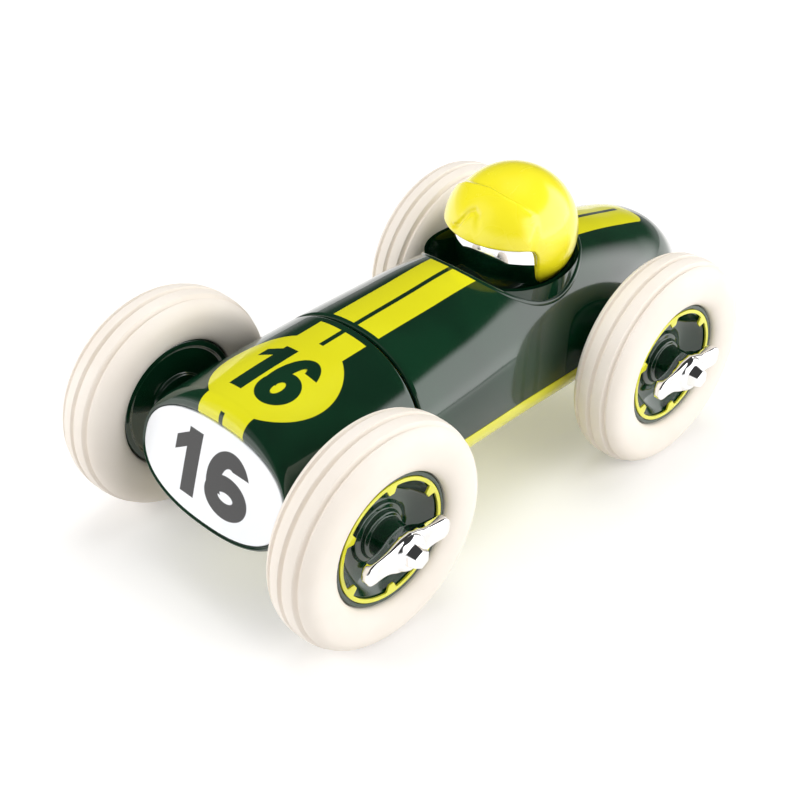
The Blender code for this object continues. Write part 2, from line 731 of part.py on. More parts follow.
def make_wheel_back(name, boss_end):
    rim = TYRE_BORE - GAP
    face = -TYRE_BEAD_WIDTH / 2
    bore = AXLE_RADIUS + GAP
    profile = [(bore, HUB_SPLIT - GAP), (rim, HUB_SPLIT - GAP), (rim, face),
               (rim - 0.0008, face - 0.0008), (BACK_BOSS_RADIUS + 0.0040, face + 0.0004),
               (BACK_BOSS_RADIUS, face - 0.0012), (BACK_BOSS_RADIUS - 0.0016, boss_end),
               (bore, boss_end)]
    return turned(name, profile, GREEN, steps=14)


def make_wheel_ring(name):
    """The yellow ring with tabs that reach in over the dish."""
    inner = RING_OUTER - RING_WIDTH
    tip = inner - TAB_REACH
    half_tab = TAB_WIDTH / 2 / inner
    bay = math.tau / RING_TABS
    inside = []
    for tab in range(RING_TABS):
        middle = bay * tab
        for radius, angle in ((inner, -half_tab), (tip, -half_tab / 2), (tip, half_tab / 2),
                              (inner, half_tab)):
            inside.append((radius * math.cos(middle + angle), radius * math.sin(middle + angle)))
    low = HUB_FACE - RING_THICKNESS + GAP / 2
    return prism(name, circle_points(RING_OUTER, 4 * RING_TABS), low, low + RING_THICKNESS,
                 YELLOW, hole=inside)


def make_spinner(name, side):
    """A two eared knock off nut."""
    base = BOSS_END + GAP
    radius = SPINNER_RADIUS
    top = base + SPINNER_HEIGHT
    profile = [(0.0, top), (radius * 0.35, top - 0.0003), (radius * 0.62, top - 0.0014),
               (radius * 0.86, base + 0.0050), (radius, base + 0.0035), (radius, base),
               (0.0, base)]
    nut = turned(name, profile, CHROME, steps=14)
    waist, ear = radius * 0.75, SPINNER_EAR_WIDTH / 2
    reach = SPINNER_REACH
    low = base + 0.0016
    high = low + SPINNER_EAR_THICKNESS
    outline = [(-reach, -ear * 0.80), (-reach + 0.0020, -ear), (0.0, -waist),
               (reach - 0.0050, -ear * 0.62), (reach - 0.0012, -ear * 0.30),
               (reach, ear * 0.80), (reach - 0.0020, ear), (0.0, waist),
               (-reach + 0.0050, ear * 0.62), (-reach + 0.0012, ear * 0.30)]
    c, s = math.cos(side * SPINNER_ANGLE), math.sin(side * SPINNER_ANGLE)
    ears = prism("ears", [(x * c - y * s, x * s + y * c) for x, y in outline], low, high,
                 group=CUTTERS)
    boolean(nut, ears, "UNION")
    return nut


def make_wheel(end, x, side_name, side):
    y = side * TRACK / 2
    body_side = section(x)[0]
    boss_end = body_side + BUSH_FLANGE + 2 * GAP - TRACK / 2
    label = "{}_" + end + "_" + side_name
    pieces = [make_tyre(label.format("tyre")), make_wheel_disc(label.format("wheel_disc")),
              make_wheel_back(label.format("wheel_back"), boss_end),
              make_wheel_ring(label.format("wheel_ring")),
              make_spinner(label.format("spinner"), side)]
    for piece in pieces:
        place(piece, x, y, AXLE_Z, side)
        shade(piece)


# ------------------------------------------------------------------ axles and bushes
def make_axle(name, x):
    end = TRACK / 2 + BOSS_END - 0.0006
    axle = cylinder(name, AXLE_RADIUS, -end, end, STEEL, sides=14)
    place(axle, x, 0.0, AXLE_Z, side=1)
    shade(axle)


def make_front_bush(side_name, side):
    """A flanged nylon bush in the cowl's side wall, seen from the wheel's side."""
    flank = section(FRONT_AXLE_X)[0]
    bore = AXLE_RADIUS + GAP
    inner = flank - 0.0060
    outer = flank + BUSH_FLANGE
    profile = [(bore, outer), (BUSH_FLANGE_RADIUS, outer), (BUSH_FLANGE_RADIUS, flank + GAP),
               (BUSH_RADIUS, flank + GAP), (BUSH_RADIUS, inner), (bore, inner)]
    bush = turned("front_bush_" + side_name, profile, NYLON, steps=12)
    place(bush, FRONT_AXLE_X, 0.0, AXLE_Z, side)
    shade(bush)


# ------------------------------------------------------------------ spring motor
def pitch_radius(teeth):
    return GEAR_MODULE * teeth / 2


AXLE_TO_IDLER = pitch_radius(AXLE_GEAR_TEETH) + pitch_radius(IDLER_WHEEL_TEETH) + 0.0002
IDLER_TO_SPRING = pitch_radius(IDLER_PINION_TEETH) + pitch_radius(SPRING_GEAR_TEETH) + 0.0002
IDLER_X = REAR_AXLE_X + AXLE_TO_IDLER * math.cos(IDLER_LIFT)
IDLER_Z = AXLE_Z + AXLE_TO_IDLER * math.sin(IDLER_LIFT)
SPRING_Z = AXLE_Z + SPRING_RISE
SPRING_DROP = math.asin((IDLER_Z - SPRING_Z) / IDLER_TO_SPRING)
SPRING_X = IDLER_X + IDLER_TO_SPRING * math.cos(SPRING_DROP)
FIRST_MESH_Y = -0.0050          # the axle gear and the idler's wheel
SECOND_MESH_Y = FIRST_MESH_Y + GEAR_WIDTH + 0.0010
SPRING_Y = SECOND_MESH_Y + GEAR_WIDTH / 2 + GAP + SPRING_HEIGHT / 2
CASE_REAR = REAR_AXLE_X - 0.0085
CASE_FRONT = SPRING_X + pitch_radius(SPRING_GEAR_TEETH) + GEAR_MODULE + 0.0028
CASE_BOTTOM = MOTOR_SEAT_Z + GAP
CASE_TOP = IDLER_Z + pitch_radius(IDLER_WHEEL_TEETH) + GEAR_MODULE + 0.0022
MOTOR_SCREWS = (
    ("front", CASE_FRONT + TAB_LENGTH / 2, 0.0),
    ("rear", CASE_REAR - TAB_LENGTH / 2, 0.0),
)


def gear_outline(teeth, turn):
    """Tooth tips and roots with tapered flanks, thinned a little so that pairs run free."""
    pitch = pitch_radius(teeth)
    tip, root = pitch + 0.85 * GEAR_MODULE, pitch - 1.15 * GEAR_MODULE
    bay = math.tau / teeth
    points = []
    for tooth in range(teeth):
        middle = turn + bay * tooth
        for radius, share in ((root, -0.30), (tip, -0.10), (tip, 0.10), (root, 0.30)):
            angle = middle + bay * share
            points.append((radius * math.cos(angle), radius * math.sin(angle)))
    return points


def gear_disc(name, teeth, turn, low, high, material=None, group=PARTS):
    return prism(name, gear_outline(teeth, turn), low, high, material, group)


def meshing_turn(teeth, follower_teeth, angle, turn):
    """The follower's turn that puts a gap where the driver has a tooth, along a line."""
    bay = math.tau / teeth
    phase = ((angle - turn) / bay) % 1.0
    follower_bay = math.tau / follower_teeth
    return angle + math.pi + (phase + 0.5) * follower_bay


def bored(thing, radius, low, high):
    boolean(thing, cylinder("bore", radius, low, high, group=CUTTERS, sides=14))
    return thing


def make_gears():
    """Three wheels in a row: axle gear, idler with its pinion, and the spring's gear.

    The outlines lie in a plane that looks along -Y, so angles run from +X towards +Z.
    """
    half = GEAR_WIDTH / 2
    to_idler = IDLER_LIFT
    to_spring = -SPRING_DROP
    axle_turn = 0.0
    idler_turn = meshing_turn(AXLE_GEAR_TEETH, IDLER_WHEEL_TEETH, to_idler, axle_turn)
    pinion_turn = 0.0
    spring_turn = meshing_turn(IDLER_PINION_TEETH, SPRING_GEAR_TEETH, to_spring, pinion_turn)

    axle_gear = gear_disc("axle_gear", AXLE_GEAR_TEETH, axle_turn, -half, half, NYLON)
    bored(axle_gear, AXLE_RADIUS + GAP, -0.01, 0.01)
    place(axle_gear, REAR_AXLE_X, FIRST_MESH_Y, AXLE_Z)

    pinion_reach = SECOND_MESH_Y - FIRST_MESH_Y + half
    idler = gear_disc("idler_gear", IDLER_WHEEL_TEETH, idler_turn, -half, half, NYLON)
    pinion = gear_disc("pinion", IDLER_PINION_TEETH, pinion_turn, -pinion_reach, 0.0,
                       group=CUTTERS)
    boolean(idler, pinion, "UNION")
    bored(idler, SHAFT_RADIUS + GAP, -0.01, 0.01)
    place(idler, IDLER_X, FIRST_MESH_Y, IDLER_Z)

    spring_gear = gear_disc("spring_gear", SPRING_GEAR_TEETH, spring_turn, -half, half, NYLON)
    bored(spring_gear, ARBOR_RADIUS - 0.0004, -0.01, 0.01)
    place(spring_gear, SPRING_X, SECOND_MESH_Y, SPRING_Z)
    for gear in (axle_gear, idler, spring_gear):
        gear.rotation_euler = (math.pi / 2, 0.0, 0.0)
        shade(gear)


def make_shafts():
    reach = CASE_HALF_WIDTH - GAP
    pin = cylinder("idler_pin", SHAFT_RADIUS, -reach, reach, STEEL, sides=12)
    place(pin, IDLER_X, 0.0, IDLER_Z, side=1)
    shade(pin)
    collar_start = SECOND_MESH_Y + GEAR_WIDTH / 2 + GAP
    thin = ARBOR_RADIUS - 0.0004 - GAP
    profile = [(0.0, reach), (SHAFT_RADIUS, reach), (SHAFT_RADIUS, reach - CASE_WALL - GAP),
               (ARBOR_RADIUS, reach - CASE_WALL - GAP), (ARBOR_RADIUS, collar_start),
               (thin, collar_start), (thin, SECOND_MESH_Y - GEAR_WIDTH / 2 - GAP),
               (SHAFT_RADIUS, SECOND_MESH_Y - GEAR_WIDTH / 2 - GAP), (SHAFT_RADIUS, -reach),
               (0.0, -reach)]
    arbor = turned("spring_arbor", profile, STEEL, steps=10)
    place(arbor, SPRING_X, 0.0, SPRING_Z, side=1)
    shade(arbor)


def make_mainspring():
    """A flat strip wound in a spiral, its inner end by the arbor."""
    steps = SPRING_TURNS * 10
    start = ARBOR_RADIUS + GAP + SPRING_STRIP / 2
    half, thick = SPRING_HEIGHT / 2, SPRING_STRIP / 2
    rings = []
    for i in range(steps + 1):
        angle = math.tau * SPRING_TURNS * i / steps
        middle = start + SPRING_PITCH * SPRING_TURNS * i / steps
        c, s = math.cos(angle), math.sin(angle)
        ring = []
        for radius, z in ((middle - thick, -half), (middle + thick, -half),
                          (middle + thick, half), (middle - thick, half)):
            ring.append(Vector((radius * c, radius * s, z)))
        rings.append(ring)
    spring = loft("mainspring", rings, STEEL)
    place(spring, SPRING_X, SPRING_Y, SPRING_Z, side=1)
    shade(spring)


def case_outline(inset=0.0):
    """The motor case seen from the side, as distances from its lower rear corner."""
    low, high = CASE_BOTTOM + inset, CASE_TOP - inset
    back, front = CASE_REAR + inset, CASE_FRONT - inset
    return [(back, low), (front, low), (front, SPRING_Z + CASE_CORNER),
            (SPRING_X + CASE_CORNER, high), (IDLER_X - CASE_CORNER, high),
            (back, AXLE_Z + CASE_CORNER)]


def make_motor_case(side_name, side):
    """Half of the case: a side plate with a rim, and the bearing holes."""
    outer, inner = GAP / 2, CASE_HALF_WIDTH

    def slab(name, inset, near, far, group, material=None):
        rings = [[Vector((x, side * y, z)) for x, z in case_outline(inset)]
                 for y in (near, far)]
        return loft(name, rings, material, group)

    half = slab("motor_case_" + side_name, 0.0, outer, inner, PARTS, CASE_PLASTIC)
    hollow = slab("hollow", CASE_WALL, -0.001, inner - CASE_WALL, CUTTERS)
    boolean(half, hollow)
    for x, z, radius in ((REAR_AXLE_X, AXLE_Z, AXLE_RADIUS), (IDLER_X, IDLER_Z, SHAFT_RADIUS),
                         (SPRING_X, SPRING_Z, SHAFT_RADIUS)):
        hole = cylinder("hole", radius + GAP, 0.0, 0.03, group=CUTTERS, sides=14)
        boolean(half, place(hole, x, 0.0, z, side))
    overlap = CASE_WALL / 2
    for near, far in ((CASE_REAR - TAB_LENGTH, CASE_REAR + overlap),
                      (CASE_FRONT - overlap, CASE_FRONT + TAB_LENGTH)):
        low_y, high_y = sorted((side * (outer + TAB_STEP), side * TAB_HALF_WIDTH))
        tab = box("tab", (near, low_y, CASE_BOTTOM + TAB_STEP),
                  (far, high_y, CASE_BOTTOM + TAB_THICKNESS), group=CUTTERS)
        boolean(half, tab, "UNION")
    for name, x, y in MOTOR_SCREWS:
        add_cylinder(half, SCREW_RADIUS + GAP, 0.0, IDLER_Z, x, y, "DIFFERENCE")
    shade(half)


# ------------------------------------------------------------------ the whole car
def main():
    make_rear_body()
    make_floor_pan()
    make_nose_cowl()
    make_nose_plate()
    for name, x, y in SCREW_PLACES:
        make_screw("pan_screw_" + name, x, y, SCREW_SEAT_Z, POST_FOOT_Z + SCREW_GRIP)
    for name, x, y in MOTOR_SCREWS:
        tip = CASE_BOTTOM + TAB_THICKNESS + 0.0010
        make_screw("motor_screw_" + name, x, y, SCREW_SEAT_Z, tip)
    make_cockpit_tub()
    make_driver_torso()
    make_driver_head()
    make_helmet()
    make_screw("head_screw", HEAD_X, 0.0, TUB_FLOOR - TUB_WALL, TUB_FLOOR + HEAD_SCREW_REACH)
    for side_name, side in (("left", 1), ("right", -1)):
        make_wheel("front", FRONT_AXLE_X, side_name, side)
        make_wheel("rear", REAR_AXLE_X, side_name, side)
        make_front_bush(side_name, side)
        make_motor_case(side_name, side)
    make_axle("front_axle", FRONT_AXLE_X)
    make_axle("rear_axle", REAR_AXLE_X)
    make_gears()
    make_shafts()
    make_mainspring()


main()
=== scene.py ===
# %% [markdown]
# # A pull back racing car
# This lesson dresses the imported mechanical model of a toy racing car. Each visible moulding is then
# modelled again with finer curves on top of its solid, while the hidden motor parts keep their solids and
# only get a finish. The box round the solids is measured first.

# %% Load the imported car
import json
import math

import bmesh
import bpy
from mathutils import Matrix, Vector


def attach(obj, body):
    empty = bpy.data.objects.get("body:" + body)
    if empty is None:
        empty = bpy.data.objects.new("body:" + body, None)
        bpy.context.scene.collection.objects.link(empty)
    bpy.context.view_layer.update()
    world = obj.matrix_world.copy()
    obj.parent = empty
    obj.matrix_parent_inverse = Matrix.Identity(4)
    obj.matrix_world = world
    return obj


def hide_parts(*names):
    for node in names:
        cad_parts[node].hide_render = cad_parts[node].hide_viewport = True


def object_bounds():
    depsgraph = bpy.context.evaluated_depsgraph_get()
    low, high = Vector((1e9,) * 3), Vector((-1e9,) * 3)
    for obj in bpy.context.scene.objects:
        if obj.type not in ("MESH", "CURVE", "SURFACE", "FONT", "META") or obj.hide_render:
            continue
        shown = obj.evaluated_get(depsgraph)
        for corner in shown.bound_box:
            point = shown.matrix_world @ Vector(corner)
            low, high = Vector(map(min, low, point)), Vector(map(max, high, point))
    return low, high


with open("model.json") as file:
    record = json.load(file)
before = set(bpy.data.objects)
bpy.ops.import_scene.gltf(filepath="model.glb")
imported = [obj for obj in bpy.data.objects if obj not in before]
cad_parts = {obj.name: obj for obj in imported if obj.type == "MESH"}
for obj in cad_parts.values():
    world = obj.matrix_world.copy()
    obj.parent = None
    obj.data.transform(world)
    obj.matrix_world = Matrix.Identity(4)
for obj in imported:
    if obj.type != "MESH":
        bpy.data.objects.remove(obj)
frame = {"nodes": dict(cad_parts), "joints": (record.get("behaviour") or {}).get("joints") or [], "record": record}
cad_low, cad_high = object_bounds()
print("nodes in the frame:", len(frame["nodes"]))

# %% [markdown]
# Everything on the car is placed from its two axles, the joints that the frame states. The tyre's radius is
# the axle's height, and the tail is the lowest x of the box. Taking these from the frame, and not typing
# them again, keeps the dress on the solids if the solids move.

# %% Landmarks of the car
pivots = {joint["name"]: Vector(joint["pos_m"]) for joint in frame["joints"]}
rear_axle = pivots["rear_wheels_spin"]
front_axle = pivots["front_wheels_spin"]
axle_z = rear_axle.z
tail_x = cad_low.x
tail_length = rear_axle.x - tail_x
seam_x = front_axle.x - 0.0322
wheelbase = front_axle.x - rear_axle.x
track = 0.0966                  # from tyre middle to tyre middle
face_lean = 0.264               # how far the nose face leans back, in radians
face_x = front_axle.x + 0.0215
face_z = axle_z + 0.0047
print("wheelbase %.1f mm, tail %.1f mm behind the rear axle" % (wheelbase * 1e3, tail_length * 1e3))

# %% [markdown]
# ## Camera
# The photograph was taken from the car's front left, a good third of the way up. Its camera was worked out
# from the ellipses of the wheels: where it stood, which way it looked and how long its lens was. A camera's
# own axes are x to the right, y up and z backwards, so its matrix is built from three such directions. A
# small roll stays, because the photographer's camera had it.

# %% The photograph's camera
camera_azimuth, camera_elevation, camera_roll = map(math.radians, (43.10, 34.196, 2.123))
looking = Vector((-math.cos(camera_azimuth) * math.cos(camera_elevation),
                  -math.sin(camera_azimuth) * math.cos(camera_elevation), -math.sin(camera_elevation)))
level = looking.cross(Vector((0, 0, 1))).normalized()
upright = level.cross(looking)
camera_x = math.cos(camera_roll) * level + math.sin(camera_roll) * upright
camera_y = math.cos(camera_roll) * upright - math.sin(camera_roll) * level
turn = Matrix((camera_x, camera_y, -looking)).transposed().to_4x4()

camera_at = Vector((rear_axle.x + 0.3797, 0.2876, 0.3149))

lens = bpy.data.cameras.new("camera")
lens.sensor_width = 36.0
lens.lens = 67.94
lens.shift_x, lens.shift_y = -0.0117, 0.0020
lens.clip_start, lens.clip_end = 0.01, 50.0
camera = bpy.data.objects.new("camera", lens)
camera.matrix_world = Matrix.Translation(camera_at) @ turn
bpy.context.scene.collection.objects.link(camera)
bpy.context.scene.camera = camera
bpy.context.scene.view_settings.view_transform = "Standard"
print("camera at", [round(c, 3) for c in camera_at])

# %% [markdown]
# ## Shader arithmetic
# A pattern on a surface is sums and products of numbers. Node by node that is slow to write and hard to
# read, so a small class wraps a socket and lets Python's own operators add the Math nodes. A second small
# class holds one material and adds any other node from its type, its settings and its inputs.

# %% A number that flows between nodes
class Flow:
    """A socket's value; the operators add the Math nodes."""

    def __init__(self, finish, socket):
        self.finish, self.socket = finish, socket

    def maths(self, operation, *others):
        sockets = dict(enumerate((self,) + others))
        return self.finish.node("ShaderNodeMath", {"operation": operation}, sockets)

    def __add__(self, other):
        return self.maths("ADD", other)

    __radd__ = __add__

    def __mul__(self, other):
        return self.maths("MULTIPLY", other)

    __rmul__ = __mul__

    def __sub__(self, other):
        return self.maths("SUBTRACT", other)

    def __rsub__(self, other):
        return (self * -1.0) + other

    def __abs__(self):
        return self.maths("ABSOLUTE")

    def most(self, other):
        return self.maths("MAXIMUM", other)

    def least(self, other):
        return self.maths("MINIMUM", other)

    def root(self):
        return self.maths("SQRT")


# %% A finish and its nodes
class Finish:
    """A node tree with one shader, of a material or of the sky, and the nodes that feed it."""

    def __init__(self, name, owner=None, **sockets):
        self.material = owner or bpy.data.materials.new(name)
        self.material.use_nodes = True
        self.tree = self.material.node_tree
        self.shader = self.tree.nodes["Background" if owner else "Principled BSDF"]
        self.set(**sockets)

    def set(self, **sockets):
        for name, value in sockets.items():
            self.feed(self.shader.inputs[name.replace("_", " ")], value)

    def feed(self, socket, value):
        if isinstance(value, Flow):
            self.tree.links.new(value.socket, socket)
        else:
            socket.default_value = value

    def node(self, kind, settings=None, sockets=None, output=0):
        """Add a node of a kind, and hand back the flow from one of its outputs."""
        made = self.tree.nodes.new(kind)
        for name, value in (settings or {}).items():
            setattr(made, name, value)
        for name, value in (sockets or {}).items():
            self.feed(made.inputs[name], value)
        return Flow(self, made.outputs[output])

    def place(self):
        """Object coordinates, which are the car's own metres on every piece."""
        return self.node("ShaderNodeTexCoord", output="Object")

    def axes(self):
        """The three object coordinates, each as a number of its own."""
        spot = self.place()
        return [self.node("ShaderNodeSeparateXYZ", {}, {0: spot}, axis) for axis in "XYZ"]

    def grain(self, size, detail=2.0, stretch=(1.0, 1.0, 1.0), roughness=0.5):
        """Noise from 0 to 1 whose lumps are about size metres across."""
        spot = self.node("ShaderNodeMapping", {}, {"Vector": self.place(), "Scale": stretch}, "Vector")
        sockets = {"Vector": spot, "Scale": 1.0 / size, "Detail": detail, "Roughness": roughness}
        return self.node("ShaderNodeTexNoise", {}, sockets)

    def mix(self, share, first, second):
        return self.node("ShaderNodeMix", {"data_type": "RGBA"}, {0: share, 6: first, 7: second}, 2)

    def span(self, value, low, high, to_low=0.0, to_high=1.0):
        """Value from low..high to to_low..to_high, eased at both ends."""
        sockets = {"Value": value, "From Min": low, "From Max": high, "To Min": to_low, "To Max": to_high}
        return self.node("ShaderNodeMapRange", {"interpolation_type": "SMOOTHSTEP"}, sockets)

    def clouded(self, first, second, size=0.020, detail=2.0, low=0.3, high=0.7):
        """Two neighbouring colours in soft clouds, as moulded plastic has them."""
        return self.mix(self.span(self.grain(size, detail), low, high), first, second)

    def emboss(self, height, depth):
        """Bump from a height of 0 to 1 that stands for depth metres."""
        self.set(Normal=self.node("ShaderNodeBump", {}, {"Height": height, "Distance": depth}))

    def ray(self, kind):
        """One for the rays of a kind, and zero for the others."""
        return self.node("ShaderNodeLightPath", output="Is %s Ray" % kind)

    def mirrored(self):
        return self.ray("Glossy").most(self.ray("Transmission"))


print("shader helpers ready")

# %% [markdown]
# ## Colours
# The colours are written as they read in the photograph, from 0 to 255, and turned into the linear numbers
# that shaders use. The green is almost black where nothing is mirrored in it, the yellow leans to green,
# and the rubber is a warm cream.

# %% Colour values
def tint(red, green, blue):
    """A colour as it reads on screen, as linear numbers."""
    def linear(value):
        value /= 255
        return value / 12.92 if value <= 0.04045 else ((value + 0.055) / 1.055) ** 2.4
    return (linear(red), linear(green), linear(blue), 1.0)


def grey(value):
    return (value, value, value, 1.0)


racing_green = tint(12, 52, 31)
deep_green = tint(9, 42, 25)
stripe_yellow = tint(226, 222, 30)
hub_yellow = tint(228, 226, 58)
helmet_yellow = tint(252, 240, 38)
cream = tint(244, 236, 226)
plate_white = tint(247, 249, 252)
figure_grey = tint(16, 16, 18)
print("racing green is", [round(c, 3) for c in racing_green])

# %% [markdown]
# ## Gloss plastic
# The mouldings are lacquered plastic: a coloured base under a clear, hard coat. Real mouldings are never
# perfect mirrors. They ripple a little where the plastic cooled, the coat carries a fine orange peel, and
# handling leaves faint hairlines. All three are far below a millimetre, so they go into the bump and the
# roughness and not into the shape.

# %% Gloss plastic with ripple, peel and hairlines
ripple_size, peel_size, hairline_size = 0.018, 0.0011, 0.0022
hairline_dulling = 0.05


def lacquer(finish, peel_depth=0.000006, roughness=0.10):
    """Give a finish the surface of lacquered plastic."""
    ripple = finish.grain(ripple_size, detail=1.0)
    orange_peel = finish.grain(peel_size)
    hairlines = finish.grain(hairline_size, detail=3.0, stretch=(0.08, 1.0, 1.0), roughness=0.7)
    worn = finish.span(hairlines, 0.60, 0.78) * hairline_dulling
    finish.set(Roughness=finish.span(ripple, 0.3, 0.7, roughness, roughness + 0.03) + worn)
    finish.emboss(orange_peel + ripple * 2.0, peel_depth)
    finish.set(Coat_Weight=0.6, Coat_Roughness=0.03, IOR=1.5)
    return finish


moulding_cloud = {"size": 0.030, "low": 0.35, "high": 0.65}


def gloss(name, colour, shade, **settings):
    """Lacquered plastic of one colour, a little deeper where the moulding is thick."""
    finish = Finish(name)
    finish.set(Base_Color=finish.clouded(colour, shade, **moulding_cloud))
    return lacquer(finish, **settings).material


green_gloss = gloss("green_gloss_finish", racing_green, deep_green)
yellow_gloss = gloss("yellow_gloss_finish", hub_yellow, tint(222, 218, 40), roughness=0.16)
print("plain gloss finishes:", green_gloss.name, yellow_gloss.name)

# %% [markdown]
# ## The livery
# The stripes and the roundel are printed on the lacquer, so they belong in the shader and not in the shape.
# Each is a distance that is below zero inside its outline. The smallest of several distances joins shapes
# and the largest cuts them, and one soft step of a tenth of a millimetre turns the result into a mask with
# a printed edge. The car's own coordinates measure the distances, so that the print runs straight across
# the seam. Along the middle a thin line of green stays free.

# %% Distances that draw the livery
print_edge = 0.00012            # how soft the printed edge is


def band(across, half_width):
    return abs(across) - half_width


def between(along, low, high):
    return abs(along - (low + high) / 2) - (high - low) / 2


def without(distance, hole):
    """A shape with another one cut out of it."""
    return distance.most(hole * -1.0)


def disc(along, across, radius):
    return (along * along + across * across).root() - radius


def rounded_box(along_distance, across_distance, radius):
    """Two band distances joined with a rounded corner."""
    return disc((along_distance + radius).most(0.0), (across_distance + radius).most(0.0), radius)


def oval(across, up, half_width, half_height):
    across, up = across * (1 / half_width), up * (1 / half_height)
    return ((across * across + up * up).root() - 1.0) * min(half_width, half_height)


def ink(finish, distance):
    return finish.span(distance, -print_edge, print_edge, 1.0, 0.0)


def printed_green(name, draw):
    """Green lacquer with the yellow print that draw() returns as a distance."""
    finish = Finish(name)
    x, y, _ = finish.axes()
    mask = ink(finish, draw(x - rear_axle.x, y))
    green = finish.clouded(racing_green, deep_green, **moulding_cloud)
    yellow = finish.clouded(stripe_yellow, tint(222, 217, 26), **moulding_cloud)
    finish.set(Base_Color=finish.mix(mask, green, yellow))
    return lacquer(finish).material


# %% [markdown]
# A racer carries a number, so the roundel and the white plate show a plain one. Its figures are distances
# too. A one is an upright bar with a slanted flag. A six is a bowl, which is one oval cut out of another,
# and an arm, which is the left and the upper part of a taller pair of ovals.

# %% A number from bars and ovals
def number_distance(across, up, tall, wide, stroke):
    """Distance to the figures 1 and 6, which stand side by side in a box of wide by tall."""
    one_at = -wide / 2 + stroke * 1.35
    stem = band(across - one_at, stroke / 2).most(band(up, tall / 2))
    slanted = up - (tall / 2 - stroke * 0.40) - (across - one_at) * 0.60
    flag = between(across, one_at - stroke * 1.30, one_at).most(band(slanted, stroke * 0.40))
    half = wide * 0.275
    six_across, bowl_height = across - (wide / 2 - half), tall * 0.315
    bowl_up = up - (bowl_height - tall / 2)
    bowl_hole = oval(six_across, bowl_up, half - stroke, bowl_height - stroke * 0.85)
    bowl = without(oval(six_across, bowl_up, half, bowl_height), bowl_hole)
    arm_hole = oval(six_across, up, half - stroke, tall / 2 - stroke * 0.85)
    arm = without(without(oval(six_across, up, half, tall / 2), arm_hole), bowl_up)
    arm = arm.most(six_across.least(tall * 0.24 - up))
    return stem.least(flag).least(bowl).least(arm)


# %% The print on the rear body and on the nose
# Lengths along the car, here, are counted from the rear axle.
stripe_half, line_half = 0.0101, 0.0009
under_driver, body_stripe_front, nose_stripe = 0.0300, 0.0981, (0.1034, 0.1549)
deck_rear, deck_line_rear = -0.0396, -0.0345
line_on_nose = ((0.1000, 0.1129), (0.1520, 0.1600))
roundel_x, roundel_radius = 0.1312, 0.0203


def rear_print(x, y):
    line = band(y, line_half)
    front = without(between(x, under_driver, body_stripe_front).most(band(y, stripe_half)), line)
    deck = rounded_box(between(x, deck_rear, under_driver), band(y, stripe_half - 0.0005), radius=0.0038)
    return front.least(without(deck, line.most(deck_line_rear - x)))


def nose_print(x, y):
    printed = between(x, *nose_stripe).most(band(y, stripe_half))
    printed = printed.least(disc(x - roundel_x, y, roundel_radius))
    for start, end in line_on_nose:
        printed = without(printed, band(y, line_half).most(between(x, start, end)))
    return without(printed, number_distance(y, roundel_x - x, tall=0.0232, wide=0.0250, stroke=0.0053))


rear_livery = printed_green("rear_livery", rear_print)
nose_livery = printed_green("nose_livery", nose_print)
print("livery finishes:", rear_livery.name, nose_livery.name)

# %% [markdown]
# ## Rubber, helmet, white plate, plating and the plain parts
# The tyres are soft, matt rubber with a fine grain and faint bloom. The helmet is a bright yellow whose
# gloss is softer than the body's, and the white plate carries the same plain number as the roundel. The
# plated parts are plastic under a mirror of chrome, which shows the mould's slight waves and a few
# fingerprints. The motor's parts are seen only through gaps, but each still gets the finish of what it is
# made of.

# %% Rubber, helmet and white plate
def satin(name, colour, shade, roughness, grain, depth):
    """A matt surface with a fine grain of its own size and depth."""
    finish = Finish(name)
    finish.set(Base_Color=finish.clouded(colour, shade, detail=3.0))
    fine = finish.grain(grain, detail=3.0, roughness=0.6)
    finish.set(Roughness=finish.span(fine, 0.3, 0.7, *roughness))
    finish.emboss(fine, depth)
    return finish


rubber = satin("cream_rubber_finish", cream, tint(240, 231, 220), (0.50, 0.62), grain=0.0004, depth=0.00001)
rubber.set(IOR=1.46)
cream_rubber = rubber.material

shell = Finish("helmet_finish")
shell.set(Base_Color=shell.clouded(helmet_yellow, tint(250, 236, 30)))
lacquer(shell, peel_depth=0.000001, roughness=0.26)
shell.set(Coat_Weight=0.9, Coat_Roughness=0.09)
helmet_gloss = shell.material

plate = Finish("white_plate_finish")
lacquer(plate, peel_depth=0.000001, roughness=0.22)
x, y, z = plate.axes()
face_up = (z - face_z) * math.cos(face_lean) - (x - face_x) * math.sin(face_lean)
printed = ink(plate, number_distance(y, face_up, tall=0.0216, wide=0.0345, stroke=0.0062))
bare = plate.clouded(plate_white, tint(243, 246, 250))
plate.set(Base_Color=plate.mix(printed, bare, figure_grey))
white_plate = plate.material
print("matt, helmet and plate finishes ready")

# %% Plating and motor finishes
def metal(name, brightness, roughness, grain, depth, stretch=(1.0, 1.0, 1.0)):
    """A metal whose colour and gloss change where fingers touched it."""
    finish = Finish(name, Metallic=1.0)
    smudge = finish.grain(grain, detail=4.0, stretch=stretch, roughness=0.6)
    clean = (brightness, brightness, brightness + 0.01, 1.0)
    touched = (brightness * 0.93, brightness * 0.93, (brightness + 0.01) * 0.93, 1.0)
    finish.set(Base_Color=finish.mix(finish.span(smudge, 0.3, 0.8), clean, touched))
    finish.set(Roughness=finish.span(smudge, 0.45, 0.75, *roughness))
    finish.emboss(smudge, depth)
    return finish.material


